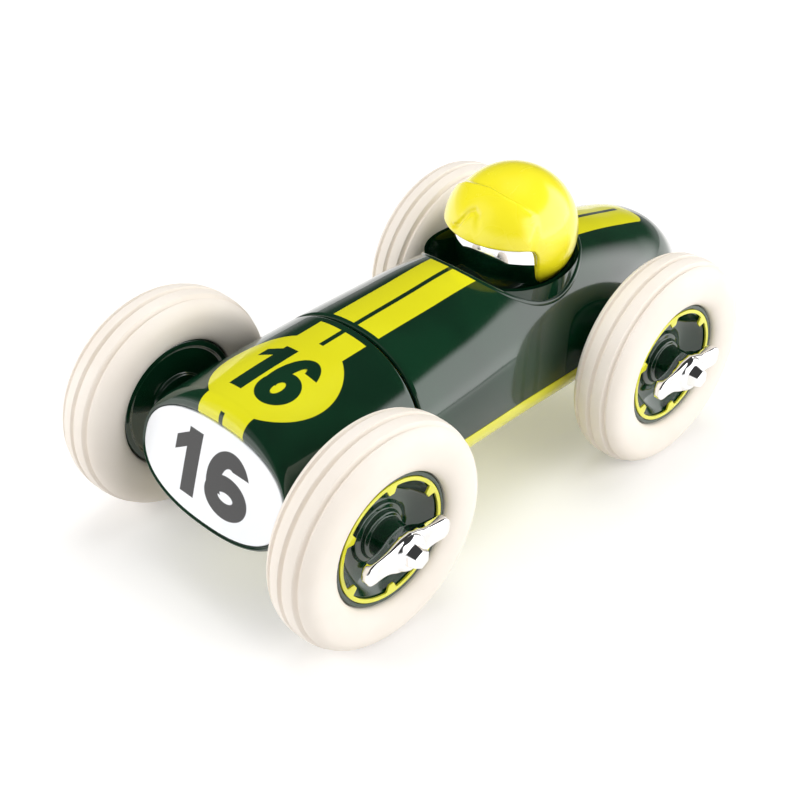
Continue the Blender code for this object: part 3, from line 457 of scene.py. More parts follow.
chrome = metal("chrome_finish", 0.93, (0.02, 0.07), grain=0.004, depth=0.000006)
steel = metal("steel_finish", 0.56, (0.22, 0.38), grain=0.0015, depth=0.00001, stretch=(1.0, 0.1, 1.0))
nylon = satin("nylon_finish", (0.70, 0.68, 0.62, 1.0), (0.66, 0.64, 0.58, 1.0), (0.40, 0.50),
              grain=0.0008, depth=0.00001).material
case_plastic = satin("case_finish", (0.010, 0.010, 0.011, 1.0), (0.014, 0.014, 0.015, 1.0), (0.42, 0.55),
                     grain=0.0005, depth=0.00002).material

finish_of_slot = {"green_gloss": green_gloss, "yellow_gloss": yellow_gloss, "helmet_yellow": helmet_gloss,
                  "cream_rubber": cream_rubber, "white_plate": white_plate, "chrome": chrome, "steel": steel,
                  "nylon": nylon, "case_plastic": case_plastic}
for subpart in frame["record"]["subparts"]:
    node = frame["nodes"][subpart["node"]]
    node.data.materials.clear()
    node.data.materials.append(finish_of_slot[subpart["material_slot"]])
print("every solid has its finish")

# %% [markdown]
# ## Studio
# The car stands on a white sweep under soft light. Two things make the picture: the floor stays white
# around a faint, warm shadow, and the dark lacquer mirrors broad, bright soft boxes at the sides while
# nothing bright stands overhead. So the sky is white at the horizon and dims upwards, and the lamps are
# large areas that the camera doesn't see. The floor gets a small extra glow for camera and mirror rays
# alone, which lifts it to white, more so where it is far and dim, and leaves the car's light as it is.

# %% Floor
floor_half = 3.0
glow_near, glow_far = 0.25, 0.62
glow_grows = (0.5, 1.5)         # the distances between which the glow grows

bm = bmesh.new()
bmesh.ops.create_grid(bm, x_segments=1, y_segments=1, size=floor_half)
floor_mesh = bpy.data.meshes.new("floor")
bm.to_mesh(floor_mesh)
bm.free()
floor = bpy.data.objects.new("floor", floor_mesh)
bpy.context.scene.collection.objects.link(floor)

sweep = Finish("sweep", Roughness=0.9, Base_Color=(0.86, 0.85, 0.84, 1.0), Specular_IOR_Level=0.0)
seen = sweep.ray("Camera").most(sweep.mirrored())
x, y, _ = sweep.axes()
glow = sweep.mix(sweep.span((x * x + y * y).root(), *glow_grows), grey(glow_near), grey(glow_far))
sweep.set(Emission_Color=sweep.mix(seen, grey(0.0), glow), Emission_Strength=1.0)
floor_mesh.materials.append(sweep.material)
print("floor", [round(c, 2) for c in floor.dimensions])

# %% [markdown]
# The sky does three jobs, and Light Path tells them apart. The camera sees plain white. Matt surfaces get
# an even, soft light from all round. Mirror surfaces see the studio: a white horizon, a broad soft box
# behind the car's left side that ends in a clean upper edge, and a dim ceiling, which is what keeps the
# green deep. A patch of that studio is a direction and how far a view ray may turn away from it.

# %% Sky
world = bpy.data.worlds.new("sky")
bpy.context.scene.world = world
sky = Finish("sky", owner=world)
view = sky.node("ShaderNodeTexCoord", output="Generated")
view_z = sky.node("ShaderNodeSeparateXYZ", {}, {0: view}, "Z")


def towards(azimuth, elevation, wide, soft):
    """How much a view ray points at a patch of the studio, from 0 to 1, with a soft edge."""
    azimuth, elevation = math.radians(azimuth), math.radians(elevation)
    level_reach = math.cos(elevation)
    aim = (math.cos(azimuth) * level_reach, math.sin(azimuth) * level_reach, math.sin(elevation))
    facing = sky.node("ShaderNodeVectorMath", {"operation": "DOT_PRODUCT"}, {0: view, 1: aim}, "Value")
    return sky.span(facing, math.cos(math.radians(wide + soft)), math.cos(math.radians(wide)))


ceiling, matt_light = 0.05, 0.46
horizon = sky.span(view_z, 0.04, 0.24, 1.0, 0.0) * (0.35 + 0.70 * towards(35, 0, wide=60, soft=50))
left_light = towards(116, 18, wide=42, soft=20) * sky.span(view_z, 0.58, 0.68, 1.0, 0.0) * 2.6
front_light = towards(-25, 12, wide=18, soft=22) * 0.3
studio = ceiling + horizon + left_light + front_light
mirrored, white = sky.mirrored(), sky.ray("Camera")
light = mirrored * studio + (1.0 - mirrored) * matt_light
sky.set(Color=grey(1.0), Strength=white + (1.0 - white) * light)
print("sky: white for the camera, %.2f for matt surfaces" % matt_light)

# %% [markdown]
# The lamps are large and soft. They light matt surfaces only: the sky already holds what a mirror should
# see, and a lamp's hard rectangle in the lacquer would look like a window.

# %% Soft boxes
def soft_box(name, where, aim, width, power):
    lamp = bpy.data.lights.new(name, "AREA")
    lamp.shape, lamp.size, lamp.size_y = "RECTANGLE", width, 0.80
    lamp.energy = power
    box = bpy.data.objects.new(name, lamp)
    box.location = where
    box.rotation_euler = (Vector(aim) - Vector(where)).to_track_quat("-Z", "Y").to_euler()
    box.visible_camera = box.visible_glossy = False
    bpy.context.scene.collection.objects.link(box)


soft_box("left_box", (-0.45, 0.95, 0.45), aim=(0.0, 0.0, 0.05), width=1.00, power=8.5)
soft_box("front_box", (1.00, -0.55, 0.60), aim=(0.0, 0.0, 0.05), width=0.90, power=8.0)
soft_box("top_box", (-0.20, -0.20, 1.30), aim=(0.0, 0.0, 0.0), width=0.80, power=5.5)
print("three soft boxes")

# %% [markdown]
# ## Helpers for the mouldings
# Most of the car is a sheet wrapped into a closed form: a grid of faces whose rows run along the piece and
# whose columns run round it. create_grid makes the faces, a function says where each point goes, and
# merging the doubled points closes the seam and the poles. A turned piece is spun from its profile.

# %% Wrapped sheets and turned pieces
weld = 0.000002                 # points closer than this are one point


def merged(bm):
    """Merge the doubled points and turn the faces outwards."""
    bmesh.ops.remove_doubles(bm, verts=bm.verts, dist=weld)
    bmesh.ops.recalc_face_normals(bm, faces=bm.faces)
    return bm


def wrapped_sheet(rows, columns, place):
    """A grid whose points go to place(row, column), closed where its points meet."""
    bm = bmesh.new()
    bmesh.ops.create_grid(bm, x_segments=rows, y_segments=columns, size=0.5)
    for vertex in bm.verts:
        row, column = round((vertex.co.x + 0.5) * rows), round((vertex.co.y + 0.5) * columns)
        vertex.co = place(row, column)
    merged(bm)
    if bm.calc_volume(signed=True) < 0:
        bmesh.ops.reverse_faces(bm, faces=bm.faces)
    return bm


def soften(corners, steps=4):
    """A polyline of (radius, height, rounding) corners with each corner rounded."""
    points = []
    for i, (radius, height, rounding) in enumerate(corners):
        here = Vector((radius, height))
        if rounding == 0 or i in (0, len(corners) - 1):
            points.append(here)
            continue
        before = Vector(corners[i - 1][:2]) - here
        after = Vector(corners[i + 1][:2]) - here
        reach = min(rounding, before.length * 0.49, after.length * 0.49)
        start, end = here + before.normalized() * reach, here + after.normalized() * reach
        for k in range(steps + 1):
            t = k / steps
            points.append(start * (1 - t) ** 2 + here * 2 * t * (1 - t) + end * t ** 2)
    return points


def turned(profile, steps=96):
    """A profile of (radius, height) points spun round the z axis."""
    bm = bmesh.new()
    line = [bm.verts.new((radius, 0.0, height)) for radius, height in profile]
    edges = [bm.edges.new(pair) for pair in zip(line, line[1:])]
    bmesh.ops.spin(bm, geom=line + edges, axis=(0, 0, 1), cent=(0, 0, 0), dvec=(0, 0, 0),
                   angle=math.tau, steps=steps, use_merge=True)
    return merged(bm)


def raised(bm, height):
    """Extrude the faces of a flat bmesh upwards into a block."""
    lifted = bmesh.ops.extrude_face_region(bm, geom=bm.faces[:])["geom"]
    corners = [item for item in lifted if isinstance(item, bmesh.types.BMVert)]
    bmesh.ops.translate(bm, vec=(0, 0, height), verts=corners)
    bmesh.ops.recalc_face_normals(bm, faces=bm.faces)
    return bm


def bevelled(bm, edges, width):
    bmesh.ops.bevel(bm, geom=edges, offset=width, offset_type="OFFSET", segments=3, profile=0.5,
                    affect="EDGES", material=-1)
    return bm


def smooth_but_sharp(mesh, degrees):
    mesh.shade_smooth()
    mesh.set_sharp_from_angle(angle=math.radians(degrees))


def finished(bm, name, body, material, replaces=(), sharp=38.0):
    """Make the object, smooth it apart from its sharp edges, and let it ride on its body."""
    mesh = bpy.data.meshes.new(name)
    bm.to_mesh(mesh)
    bm.free()
    mesh.materials.append(material)
    smooth_but_sharp(mesh, sharp)
    piece = bpy.data.objects.new(name, mesh)
    bpy.context.scene.collection.objects.link(piece)
    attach(piece, body)
    if replaces:
        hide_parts(*replaces)
    print(name, len(mesh.polygons), "faces")
    return piece


def cut(piece, tool, operation="DIFFERENCE"):
    """Cut a piece with the bmesh of a tool, and apply the cut."""
    mesh = bpy.data.meshes.new("tool")
    tool.to_mesh(mesh)
    tool.free()
    cutter = bpy.data.objects.new("tool", mesh)
    bpy.context.scene.collection.objects.link(cutter)
    step = piece.modifiers.new("cut", "BOOLEAN")
    step.object, step.operation, step.solver = cutter, operation, "EXACT"
    graph = bpy.context.evaluated_depsgraph_get()
    made = bpy.data.meshes.new_from_object(piece.evaluated_get(graph))
    piece.modifiers.clear()
    old, piece.data = piece.data, made
    made.name = piece.name
    bpy.data.objects.remove(cutter)
    bpy.data.meshes.remove(old)
    bpy.data.meshes.remove(mesh)


def axle_drill(radius, x):
    """A cylinder to cut with, from wheel to wheel at the height of the axles."""
    drill = bmesh.new()
    across = Matrix.Translation((x, 0.0, axle_z)) @ Matrix.Rotation(math.pi / 2, 4, "X")
    bmesh.ops.create_cone(drill, cap_ends=True, segments=48, radius1=radius, radius2=radius, depth=track,
                          matrix=across)
    return drill


print("mesh helpers ready")

# %% [markdown]
# ## The body's lines
# A body like this is drawn as a row of sections, each a rounded square called a superellipse: a power of 2
# gives an ellipse, and a little more gives fuller shoulders. The table holds the sections from the tail to
# the nose as shares of the body's own sizes, and a smooth curve runs through each column. Towards the nose
# the sections lean back, as the seam and the white face do.

# %% Sections of the body
half_width, roof_rise, floor_depth, nose_lift = 0.0360, 0.0363, 0.0165, 0.0030
roof_power, floor_power = 2.2, 2.4
lean_rise = 0.0025              # above the axles, where a leaning section crosses its station
shoulder_x = front_axle.x + 0.0180
section_x = ([tail_x + share * tail_length for share in (0.0, 0.018, 0.061, 0.152, 0.331, 0.620)]
             + [rear_axle.x + share * wheelbase for share in (0.0, 0.184, 0.400, 0.577)]
             + [seam_x, front_axle.x, shoulder_x + 0.0010])
section_shares = {
    "half": (0.070, 0.150, 0.250, 0.403, 0.600, 0.778, 0.883, 0.928, 0.950, 0.981, 1.000, 0.972, 0.925),
    "roof": (0.080, 0.143, 0.234, 0.402, 0.656, 0.802, 0.931, 0.983, 1.000, 0.950, 0.895, 0.807, 0.736),
    "lift": (0.0, 0.0, 0.0, 0.0, 0.0, 0.0, 0.0, 0.0, 0.0, 0.0, 0.0, 0.5, 1.0),
    "floor": (0.150, 0.250, 0.430, 0.600, 0.830, 0.955, 1.000, 1.000, 1.000, 1.000, 0.988, 0.927, 0.794),
    "lean": (0.0, 0.0, 0.0, 0.0, 0.0, 0.0, 0.0, 0.0, 0.0, 0.227, 0.455, 0.758, 1.000),
}


def through(places, values, x):
    """A smooth curve through values at rising places."""
    x = min(max(x, places[0]), places[-1])
    i = max(k for k in range(len(places) - 1) if places[k] <= x)

    def slope(k):
        low, high = max(k - 1, 0), min(k + 1, len(places) - 1)
        return (values[high] - values[low]) / (places[high] - places[low])

    span = places[i + 1] - places[i]
    t = (x - places[i]) / span
    return ((2 * t**3 - 3 * t**2 + 1) * values[i] + (t**3 - 2 * t**2 + t) * span * slope(i)
            + (3 * t**2 - 2 * t**3) * values[i + 1] + (t**3 - t**2) * span * slope(i + 1))


def power_arc(power, angle):
    """A point of the superellipse that is one unit wide and high."""
    c, s = math.cos(angle), math.sin(angle)
    return math.copysign(abs(c) ** (2 / power), c), math.copysign(abs(s) ** (2 / power), s)


def section(x):
    """Half width, roof, middle height, floor and lean of the body at a station."""
    half, roof, lift, floor, lean = (through(section_x, values, x) for values in section_shares.values())
    return (half * half_width, axle_z + roof * roof_rise, axle_z + lift * nose_lift,
            axle_z - floor * floor_depth, lean * face_lean)


def on_body(x, angle, inset=0.0, scale=1.0):
    """A point of the body's skin: angle 0 is the left side, a quarter turn the roof."""
    half, roof, middle, floor, lean = section(x)
    above = math.sin(angle) >= 0
    across, up = power_arc(roof_power if above else floor_power, angle)
    reach = roof - middle if above else middle - floor
    z = middle + scale * (reach - inset) * up
    return Vector((x - lean * (z - axle_z - lean_rise), scale * (half - inset) * across, z))


def roof_at(x, y):
    """The skin's height above a point of the plan, on the rear body."""
    half, roof, middle, floor, lean = section(x)
    return middle + (roof - middle) * (1 - min(abs(y) / half, 0.999) ** roof_power) ** (1 / roof_power)


print("roof over the rear axle %.1f mm" % (roof_at(rear_axle.x, 0) * 1e3))

# %% [markdown]
# ## Rear body and floor pan
# The green shell and the yellow pan are two bowls that meet at the height of the axles. Each is a wall with
# an outer and an inner side. Going round one section, the columns run over the outside and come back along
# the inside. At the front edge the two sides roll into each other, which gives the moulded edge its
# rounding, and at the tail each side closes in its own pole. One function makes both halves, because only
# the half of the section differs.

# %% A half shell with rolled edges
shell_wall = 0.0022
body_front = seam_x - 0.0012
hollow_tail = tail_x + 0.0045
split_gap = 0.00015
shell_stations, shell_columns, shell_roll = 110, 64, 8


def tip_scale(ahead, reach=0.0012):
    """How far a section has opened behind its pole, from 0 to 1."""
    t = min(max(ahead / reach, 0.0), 1.0)
    return math.sqrt(1 - (1 - t) ** 2)


def half_shell(upper):
    """The upper or the lower bowl; each row is a station and how far it has rolled in."""
    start_angle = 0.0 if upper else math.pi
    edge = split_gap if upper else -split_gap
    around, edge_radius = shell_columns, shell_wall / 2
    rows = []
    for i in range(shell_stations + 1):
        closer_at_tail = (i / shell_stations) ** 1.7
        rows.append((tail_x + (body_front - edge_radius - tail_x) * closer_at_tail, 0.0))
    for i in range(1, shell_roll + 1):
        bend = math.pi / 2 * i / shell_roll
        rows.append((body_front - edge_radius * (1 - math.sin(bend)), edge_radius * (1 - math.cos(bend))))

    def place(row, column):
        x, roll_in = rows[row]
        column %= 2 * around + 2
        outside = column <= around
        angle = start_angle + math.pi * ((column if outside else 2 * around + 1 - column) / around)
        if outside:
            point = on_body(x, angle, roll_in, tip_scale(x - tail_x))
        elif x < hollow_tail:
            point = Vector((hollow_tail, 0.0, axle_z))
        else:
            point = on_body(x, angle, shell_wall - roll_in, tip_scale(x - hollow_tail, 0.004))
        if abs(math.sin(angle)) < 0.001:
            point.z += edge
        return point

    return wrapped_sheet(len(rows) - 1, 2 * around + 2, place)


rear_body = finished(half_shell(True), "rear_body_shell", "chassis", rear_livery, ["rear_body"], sharp=50)
floor_pan = finished(half_shell(False), "floor_pan_shell", "chassis", yellow_gloss, ["floor_pan"], sharp=50)

# %% [markdown]
# The cockpit is an egg seen from above, blunt in front and drawn out behind. Its outline is a circle whose
# points are pushed out, extruded into a block and cut from the shell. A cut through a smooth shell leaves
# long thin faces that would show as streaks in the lacquer, so the outside afterwards gets the normals that
# its own formula states. Zero normals leave Blender's choice in place everywhere else.

# %% Cut the cockpit and the axle's way
cockpit_x = rear_axle.x + 0.0310
egg_front, egg_rear, egg_half = 0.0234, 0.0335, 0.0252
blunt_power, drawn_out_power = 2.3, 1.8


def egg(angle, inset=0.0, scale=1.0):
    """The cockpit's outline in plan."""
    ahead = math.cos(angle) >= 0
    along, across = power_arc(blunt_power if ahead else drawn_out_power, angle)
    length = (egg_front if ahead else egg_rear) - inset
    return cockpit_x + scale * length * along, scale * (egg_half - inset) * across


def egg_block(low, high):
    block = bmesh.new()
    ring = bmesh.ops.create_circle(block, segments=160, radius=1.0, cap_ends=True)["verts"]
    for vertex in ring:
        vertex.co = (*egg(math.atan2(vertex.co.y, vertex.co.x)), low)
    return raised(block, high - low)


def skin_normal(point):
    """The normal of the outer skin at a point on it, or zero off the skin."""
    x = point.x
    for _ in range(3):          # each pass takes more of the lean out of the station
        x = point.x + section(x)[4] * (point.z - axle_z - lean_rise)
    if not tail_x + 0.0014 < x < body_front - shell_wall / 2:
        return Vector()
    half, roof, middle, floor, lean = section(x)
    above = point.z >= middle
    power, reach = (roof_power, roof - middle) if above else (floor_power, middle - floor)
    across, up = abs(point.y) / half, abs(point.z - middle) / reach
    if abs(across ** power + up ** power - 1) > 0.004:
        return Vector()
    angle = math.atan2(math.copysign(up ** (power / 2), point.z - middle),
                       math.copysign(across ** (power / 2), point.y))
    step, small_turn = 0.0002, 0.01
    along = on_body(x + step, angle) - on_body(x - step, angle)
    turn = min(max(angle, -math.pi + 2 * small_turn), math.pi - 2 * small_turn)
    around = on_body(x, turn + small_turn) - on_body(x, turn - small_turn)
    normal = along.cross(around).normalized()
    return normal if normal.dot(Vector((0, point.y, point.z - middle))) > 0 else -normal


def state_normals(piece):
    """Write the formula's normals into the faces that lie on the skin."""
    mesh = piece.data
    smooth_but_sharp(mesh, 40)
    at_vertex = [skin_normal(vertex.co) for vertex in mesh.vertices]
    normals = [Vector()] * len(mesh.loops)
    for face in mesh.polygons:
        stated = [at_vertex[vertex] for vertex in face.vertices]
        if all(normal.length > 0 and normal.dot(face.normal) > 0.5 for normal in stated):
            for loop, normal in zip(face.loop_indices, stated):
                normals[loop] = normal
    mesh.normals_split_custom_set(normals)


rear_axle_way, front_axle_way = 0.0024, 0.0039
cut(rear_body, egg_block(low=0.0550, high=0.0950))
for bowl in (rear_body, floor_pan):
    cut(bowl, axle_drill(rear_axle_way, rear_axle.x))
    state_normals(bowl)
print("rear body after the cuts:", len(rear_body.data.polygons), "faces")

# %% [markdown]
# A thin rolled lip runs round the cockpit. It is a tube along the cut edge: a curve with a bevel depth
# follows the egg on the skin and is made a mesh. The lip hides the raw edge of the cut and catches the thin
# line of light that the photograph shows there.

# %% The cockpit's lip
lip_radius, lip_sunk, lip_steps = 0.0009, 0.0005, 180


def tube_along(points, radius, name):
    """A closed tube through the points, as a mesh."""
    path = bpy.data.curves.new(name, "CURVE")
    path.dimensions, path.bevel_depth, path.bevel_resolution = "3D", radius, 4
    spline = path.splines.new("POLY")
    spline.points.add(len(points) - 1)
    for spot, point in zip(spline.points, points):
        spot.co = (*point, 1.0)
    spline.use_cyclic_u = True
    rod = bpy.data.objects.new(name, path)
    bpy.context.scene.collection.objects.link(rod)
    graph = bpy.context.evaluated_depsgraph_get()
    bm = bmesh.new()
    bm.from_mesh(bpy.data.meshes.new_from_object(rod.evaluated_get(graph)))
    bpy.data.objects.remove(rod)
    return merged(bm)


lip_points = []
for i in range(lip_steps):
    x, y = egg(math.tau * i / lip_steps, inset=0.0002)
    lip_points.append(Vector((x, y, roof_at(x, y) - lip_sunk)))
finished(tube_along(lip_points, lip_radius, "lip"), "cockpit_lip", "chassis", green_gloss)

# %% [markdown]
# ## Nose cowl and its white face
# The cowl is one closed sheet. Its rows start at a pole inside, run back along the hidden inner wall to the
# seam, roll over the rounded edge, run forward over the outside, round the shoulder and end in the shallow
# seat of the white plate. The face leans back like a shield, and its rim follows the plate at a hair's
# distance. The rows between shoulder and rim are a quarter of a circle, as a moulder's radius is.

# %% Rows of the nose
plate_half_width, plate_half_height, plate_power, plate_depth = 0.0316, 0.0164, 2.35, 0.0012


def face_point(across, up, ahead=0.0):
    """A point of the leaning nose face by its own width, height and depth."""
    return Vector((face_x - up * math.sin(face_lean) + ahead * math.cos(face_lean), across,
                   face_z + up * math.cos(face_lean) + ahead * math.sin(face_lean)))


def face_oval(angle, grow, ahead, scale=1.0):
    """A point of the plate's outline, grown by a distance and then scaled."""
    across, up = power_arc(plate_power, angle)
    reach_across, reach_up = (plate_half_width + grow) * scale, (plate_half_height + grow) * scale
    return face_point(reach_across * across, reach_up * up, ahead)


cowl_wall, rim_gap, nose_columns = 0.0020, 0.0009, 128
inner_front, back_x = shoulder_x - 0.004, seam_x + cowl_wall / 2
nose_rows = [("inside", inner_front, 0.0)]
nose_rows += [("inside", inner_front + (back_x - inner_front) * i / 8, 1.0) for i in range(9)]
nose_rows += [("roll", 0.0, math.pi * i / 12) for i in range(1, 13)]
nose_rows += [("skin", back_x + (shoulder_x - back_x) * i / 50, 0.0) for i in range(1, 51)]
nose_rows += [("shoulder", 0.0, math.pi / 2 * i / 14) for i in range(1, 15)]
nose_rows += [("seat", rim_gap - 0.0004 * i, -0.0002 * i * i) for i in range(1, 3)]
nose_rows += [("seat", 0.0001, -plate_depth), ("seat_middle", 0.0, -plate_depth)]


def angle_of(column, columns):
    return math.tau * (column % columns) / columns


def nose_place(row, column):
    kind, first, second = nose_rows[row]
    angle = angle_of(column, nose_columns)
    if kind == "inside":
        return on_body(first, angle, cowl_wall, second)
    if kind == "roll":
        half = cowl_wall / 2
        return on_body(seam_x + half * (1 - math.sin(second)), angle, half * (1 + math.cos(second)))
    if kind == "skin":
        return on_body(first, angle)
    if kind == "shoulder":
        shoulder, rim = on_body(shoulder_x, angle), face_oval(angle, rim_gap, 0.0)
        inwards, ahead = 1 - math.cos(second), math.sin(second)
        return Vector((shoulder.x + (rim.x - shoulder.x) * ahead, shoulder.y + (rim.y - shoulder.y) * inwards,
                       shoulder.z + (rim.z - shoulder.z) * inwards))
    return face_oval(angle, first, second, 0.0 if kind == "seat_middle" else 1.0)


nose_sheet = wrapped_sheet(len(nose_rows) - 1, nose_columns, nose_place)
nose_cowl = finished(nose_sheet, "nose_cowl_shell", "chassis", nose_livery, ["nose_cowl"], sharp=50)
cut(nose_cowl, axle_drill(front_axle_way, front_axle.x))
smooth_but_sharp(nose_cowl.data, 45)
print("nose cowl", len(nose_cowl.data.polygons), "faces")

# %% [markdown]
# The white plate sits in the seat with a hair's gap round it. It is made as the cowl was, of oval rows from
# a pole on its back, over a small rounded edge, to a slightly crowned front.

# %% White nose plate
plate_crown, plate_edge, plate_back = 0.00025, 0.0005, 0.0003 - plate_depth
plate_rows = [(0.0, 0.0, plate_back), (1.0, 0.0, plate_back)]
for i in range(7):
    bend = math.pi / 2 * i / 6
    plate_rows.append((1.0, -plate_edge * (1 - math.cos(bend)), -plate_edge * (1 - math.sin(bend))))
for share in (0.96, 0.9, 0.8, 0.65, 0.5, 0.35, 0.2, 0.0):
    plate_rows.append((share, -plate_edge, plate_crown * (1 - share ** 2)))


def plate_place(row, column):
    scale, grow, ahead = plate_rows[row]
    return face_oval(angle_of(column, nose_columns), grow, ahead, scale)


plate_sheet = wrapped_sheet(len(plate_rows) - 1, nose_columns, plate_place)
finished(plate_sheet, "nose_plate_face", "chassis", white_plate, ["nose_plate"], sharp=50)

# %% [markdown]
# ## Cockpit tub
# Under the opening hangs a tub with a flat floor and steep sides, glossy like the body, so that it mirrors
# the driver. Its rows run from the floor's middle outwards, up the inner side, over the rim that follows
# the skin a millimetre below it, and back down the outer side.

# %% Tub
tub_floor, tub_wall, tub_gap, tub_columns = axle_z + 0.0198, 0.0015, 0.0003, 120
tub_heights = (0.0, 0.0012, 0.0050, 0.0127)
tub_scales = (0.80, 0.86, 0.93, 1.0)
tub_depth = tub_heights[-1]
tub_rows = [("in", 0.0, share) for share in (0.0, 0.4, 0.7)]
tub_rows += [("in", tub_depth * i / 16, None) for i in range(17)] + [("in_rim", 0, 0), ("out_rim", 0, 0)]
tub_rows += [("out", tub_depth * (1 - i / 10), None) for i in range(11)] + [("out", 0.0, 0.0)]


def tub_place(row, column):
    kind, height, scale = tub_rows[row]
    angle = angle_of(column, tub_columns)
    inset = tub_gap + (tub_wall if kind.startswith("in") else 0.0)
    if kind.endswith("rim"):
        x, y = egg(angle, inset)
        return Vector((x, y, roof_at(x, y) - 0.0010))
    full = through(tub_heights, tub_scales, height) if scale is None else scale * tub_scales[0]
    x, y = egg(angle, inset, full)
    return Vector((x, y, tub_floor + height - (tub_wall if kind == "out" and height == 0.0 else 0.0)))


tub_sheet = wrapped_sheet(len(tub_rows) - 1, tub_columns, tub_place)
finished(tub_sheet, "cockpit_tub_shell", "chassis", green_gloss, ["cockpit_tub"], sharp=60)

# %% [markdown]
# ## Driver
# The driver is a plated ball for a head on a short glossy bust, under an open helmet. Nothing in the
# photograph shows a face: the ball mirrors the car's nose and wheels. The bust is spun, with a seat on top
# that the ball drops into.

# %% Bust and head
head_at = Vector((rear_axle.x + 0.0244, 0.0, tub_floor + 0.0211))
helmet_radius, helmet_wall, room = 0.0221, 0.0018, 0.0003
head_radius = helmet_radius - helmet_wall - 0.0005
seat_radius = head_radius + room
ball_at = head_at - Vector((0, 0, 0.0046))
ball_foot = tub_floor + 0.0014
bust_foot, bust_top = tub_floor + room, ball_at.z - 0.0120
seat_corner = math.sqrt(seat_radius ** 2 - (ball_at.z - bust_top) ** 2)
seat_flat = math.sqrt(seat_radius ** 2 - (ball_at.z - ball_foot + room) ** 2)
bust = [(0.0, ball_foot - room, 0)]
for i in range(9):
    seat_ring = seat_flat + (seat_corner - seat_flat) * i / 8
    bust.append((seat_ring, ball_at.z - math.sqrt(seat_radius ** 2 - seat_ring ** 2), 0))
bust += [(0.0168, bust_top, 0.0030), (0.0170, tub_floor + 0.0045, 0.002), (0.0164, bust_foot, 0.0006),
         (0.0, bust_foot, 0)]
bust_mesh = turned(soften(bust, 8))
bmesh.ops.translate(bust_mesh, vec=(head_at.x, 0, 0), verts=bust_mesh.verts)
finished(bust_mesh, "driver_bust", "chassis", green_gloss, ["driver_torso"])

ball = bmesh.new()
bmesh.ops.create_uvsphere(ball, u_segments=128, v_segments=96, radius=head_radius,
                          matrix=Matrix.Translation(ball_at))
bmesh.ops.bisect_plane(ball, geom=ball.verts[:] + ball.edges[:] + ball.faces[:], dist=0.000001,
                       plane_co=(0, 0, ball_foot), plane_no=(0, 0, 1), clear_inner=True)
bmesh.ops.holes_fill(ball, edges=ball.edges, sides=0)
finished(ball, "driver_head_ball", "chassis", chrome, ["driver_head"])

# %% [markdown]
# The helmet is a ball shell with an opening for the face. It could be cut from a ball, but a cut leaves
# hard rims and long thin faces, and the real one is moulded with soft rims. So the shell is a wrapped sheet
# instead. Its rim is drawn first, in degrees to the side and up: level over the brow, down the front of the
# ear flap and level round the back. From every point of the rim a row of points climbs to the crown
# outside, and comes back inside, and between the two the sheet rolls round the rim.

# %% The helmet's rim
half_columns = 200
brow_up, flap_up, nape_up = 5.5, -40.5, -37
rim_corners = [(0, brow_up, 0), (62.5, brow_up, 12), (66.5, flap_up, 24), (110, flap_up, 20),
               (180, nape_up, 0)]
rim_line = soften(rim_corners, 14)


def sphere_way(side, up):
    """The direction that is so many degrees to the side and up."""
    side, up = math.radians(side), math.radians(up)
    return Vector((math.cos(side) * math.cos(up), math.sin(side) * math.cos(up), math.sin(up)))


def evenly(line, count):
    """Points at even steps along a line of (side, up) degrees on the ball."""
    ways = [sphere_way(*point) for point in line]
    passed = [0.0]
    for way, next_way in zip(ways, ways[1:]):
        passed.append(passed[-1] + way.angle(next_way))
    spots, k = [], 0
    for i in range(count + 1):
        goal = passed[-1] * i / count
        while k < len(line) - 2 and passed[k + 1] < goal:
            k += 1
        share = (goal - passed[k]) / (passed[k + 1] - passed[k])
        spots.append(line[k].lerp(line[k + 1], share))
    return spots


rim_ways = [sphere_way(*spot) for spot in evenly(rim_line, half_columns)]
rim_inwards = []
for i, way in enumerate(rim_ways):
    after = rim_ways[min(i + 3, half_columns)]
    before = rim_ways[max(i - 3, 0)]
    rim_inwards.append(way.cross(after - before).normalized())
rim_inwards[0] = Vector((-rim_ways[0].z, 0, rim_ways[0].x))
rim_inwards[-1] = Vector((rim_ways[-1].z, 0, -rim_ways[-1].x))
half_rim = sum(way.angle(next_way) for way, next_way in zip(rim_ways, rim_ways[1:])) * helmet_radius
print("rim of the helmet: %.1f mm long" % (2e3 * half_rim))

# %% [markdown]
# The visor is not a separate piece. It is a soft plateau in the shell, which rises by a good millimetre
# over the brow, falls crisply along its upper edge and slowly at its sides, and carries one shallow curled
# crease. A height for every direction describes that best, and the sheet adds the height to its outer rows.

# %% Visor and crease
visor_rise, crease_depth = 0.0016, 0.0010
visor_edge_up = (-12, 6, 15, 27, 33, 37, 42, 47, 51, 54, 56)
visor_edge_side = (60, 62, 64, 67, 67, 65, 57, 45, 32, 18, 0)
crease = [Vector(spot) for spot in ((-25, 13), (-19, 12), (-14, 15), (-10, 22), (-6, 29), (-1, 32), (4, 30),
                                    (6.5, 24), (8, 16), (11, 9))]


def ease(value, low, high):
    """A soft step from 0 at low to 1 at high."""
    t = min(max((value - low) / (high - low), 0.0), 1.0)
    return t * t * (3 - 2 * t)


def beyond_visor(side, up):
    """Degrees outside the visor's edge, below zero inside it."""
    squeeze = math.cos(math.radians(up))
    if up > visor_edge_up[-1]:
        return math.hypot(up - visor_edge_up[-1], side * squeeze * 0.2)
    below, edge, above = (through(visor_edge_up, visor_edge_side, up + step) for step in (-0.5, 0.0, 0.5))
    return (abs(side) - edge) * squeeze / math.sqrt(1 + ((above - below) * squeeze) ** 2)


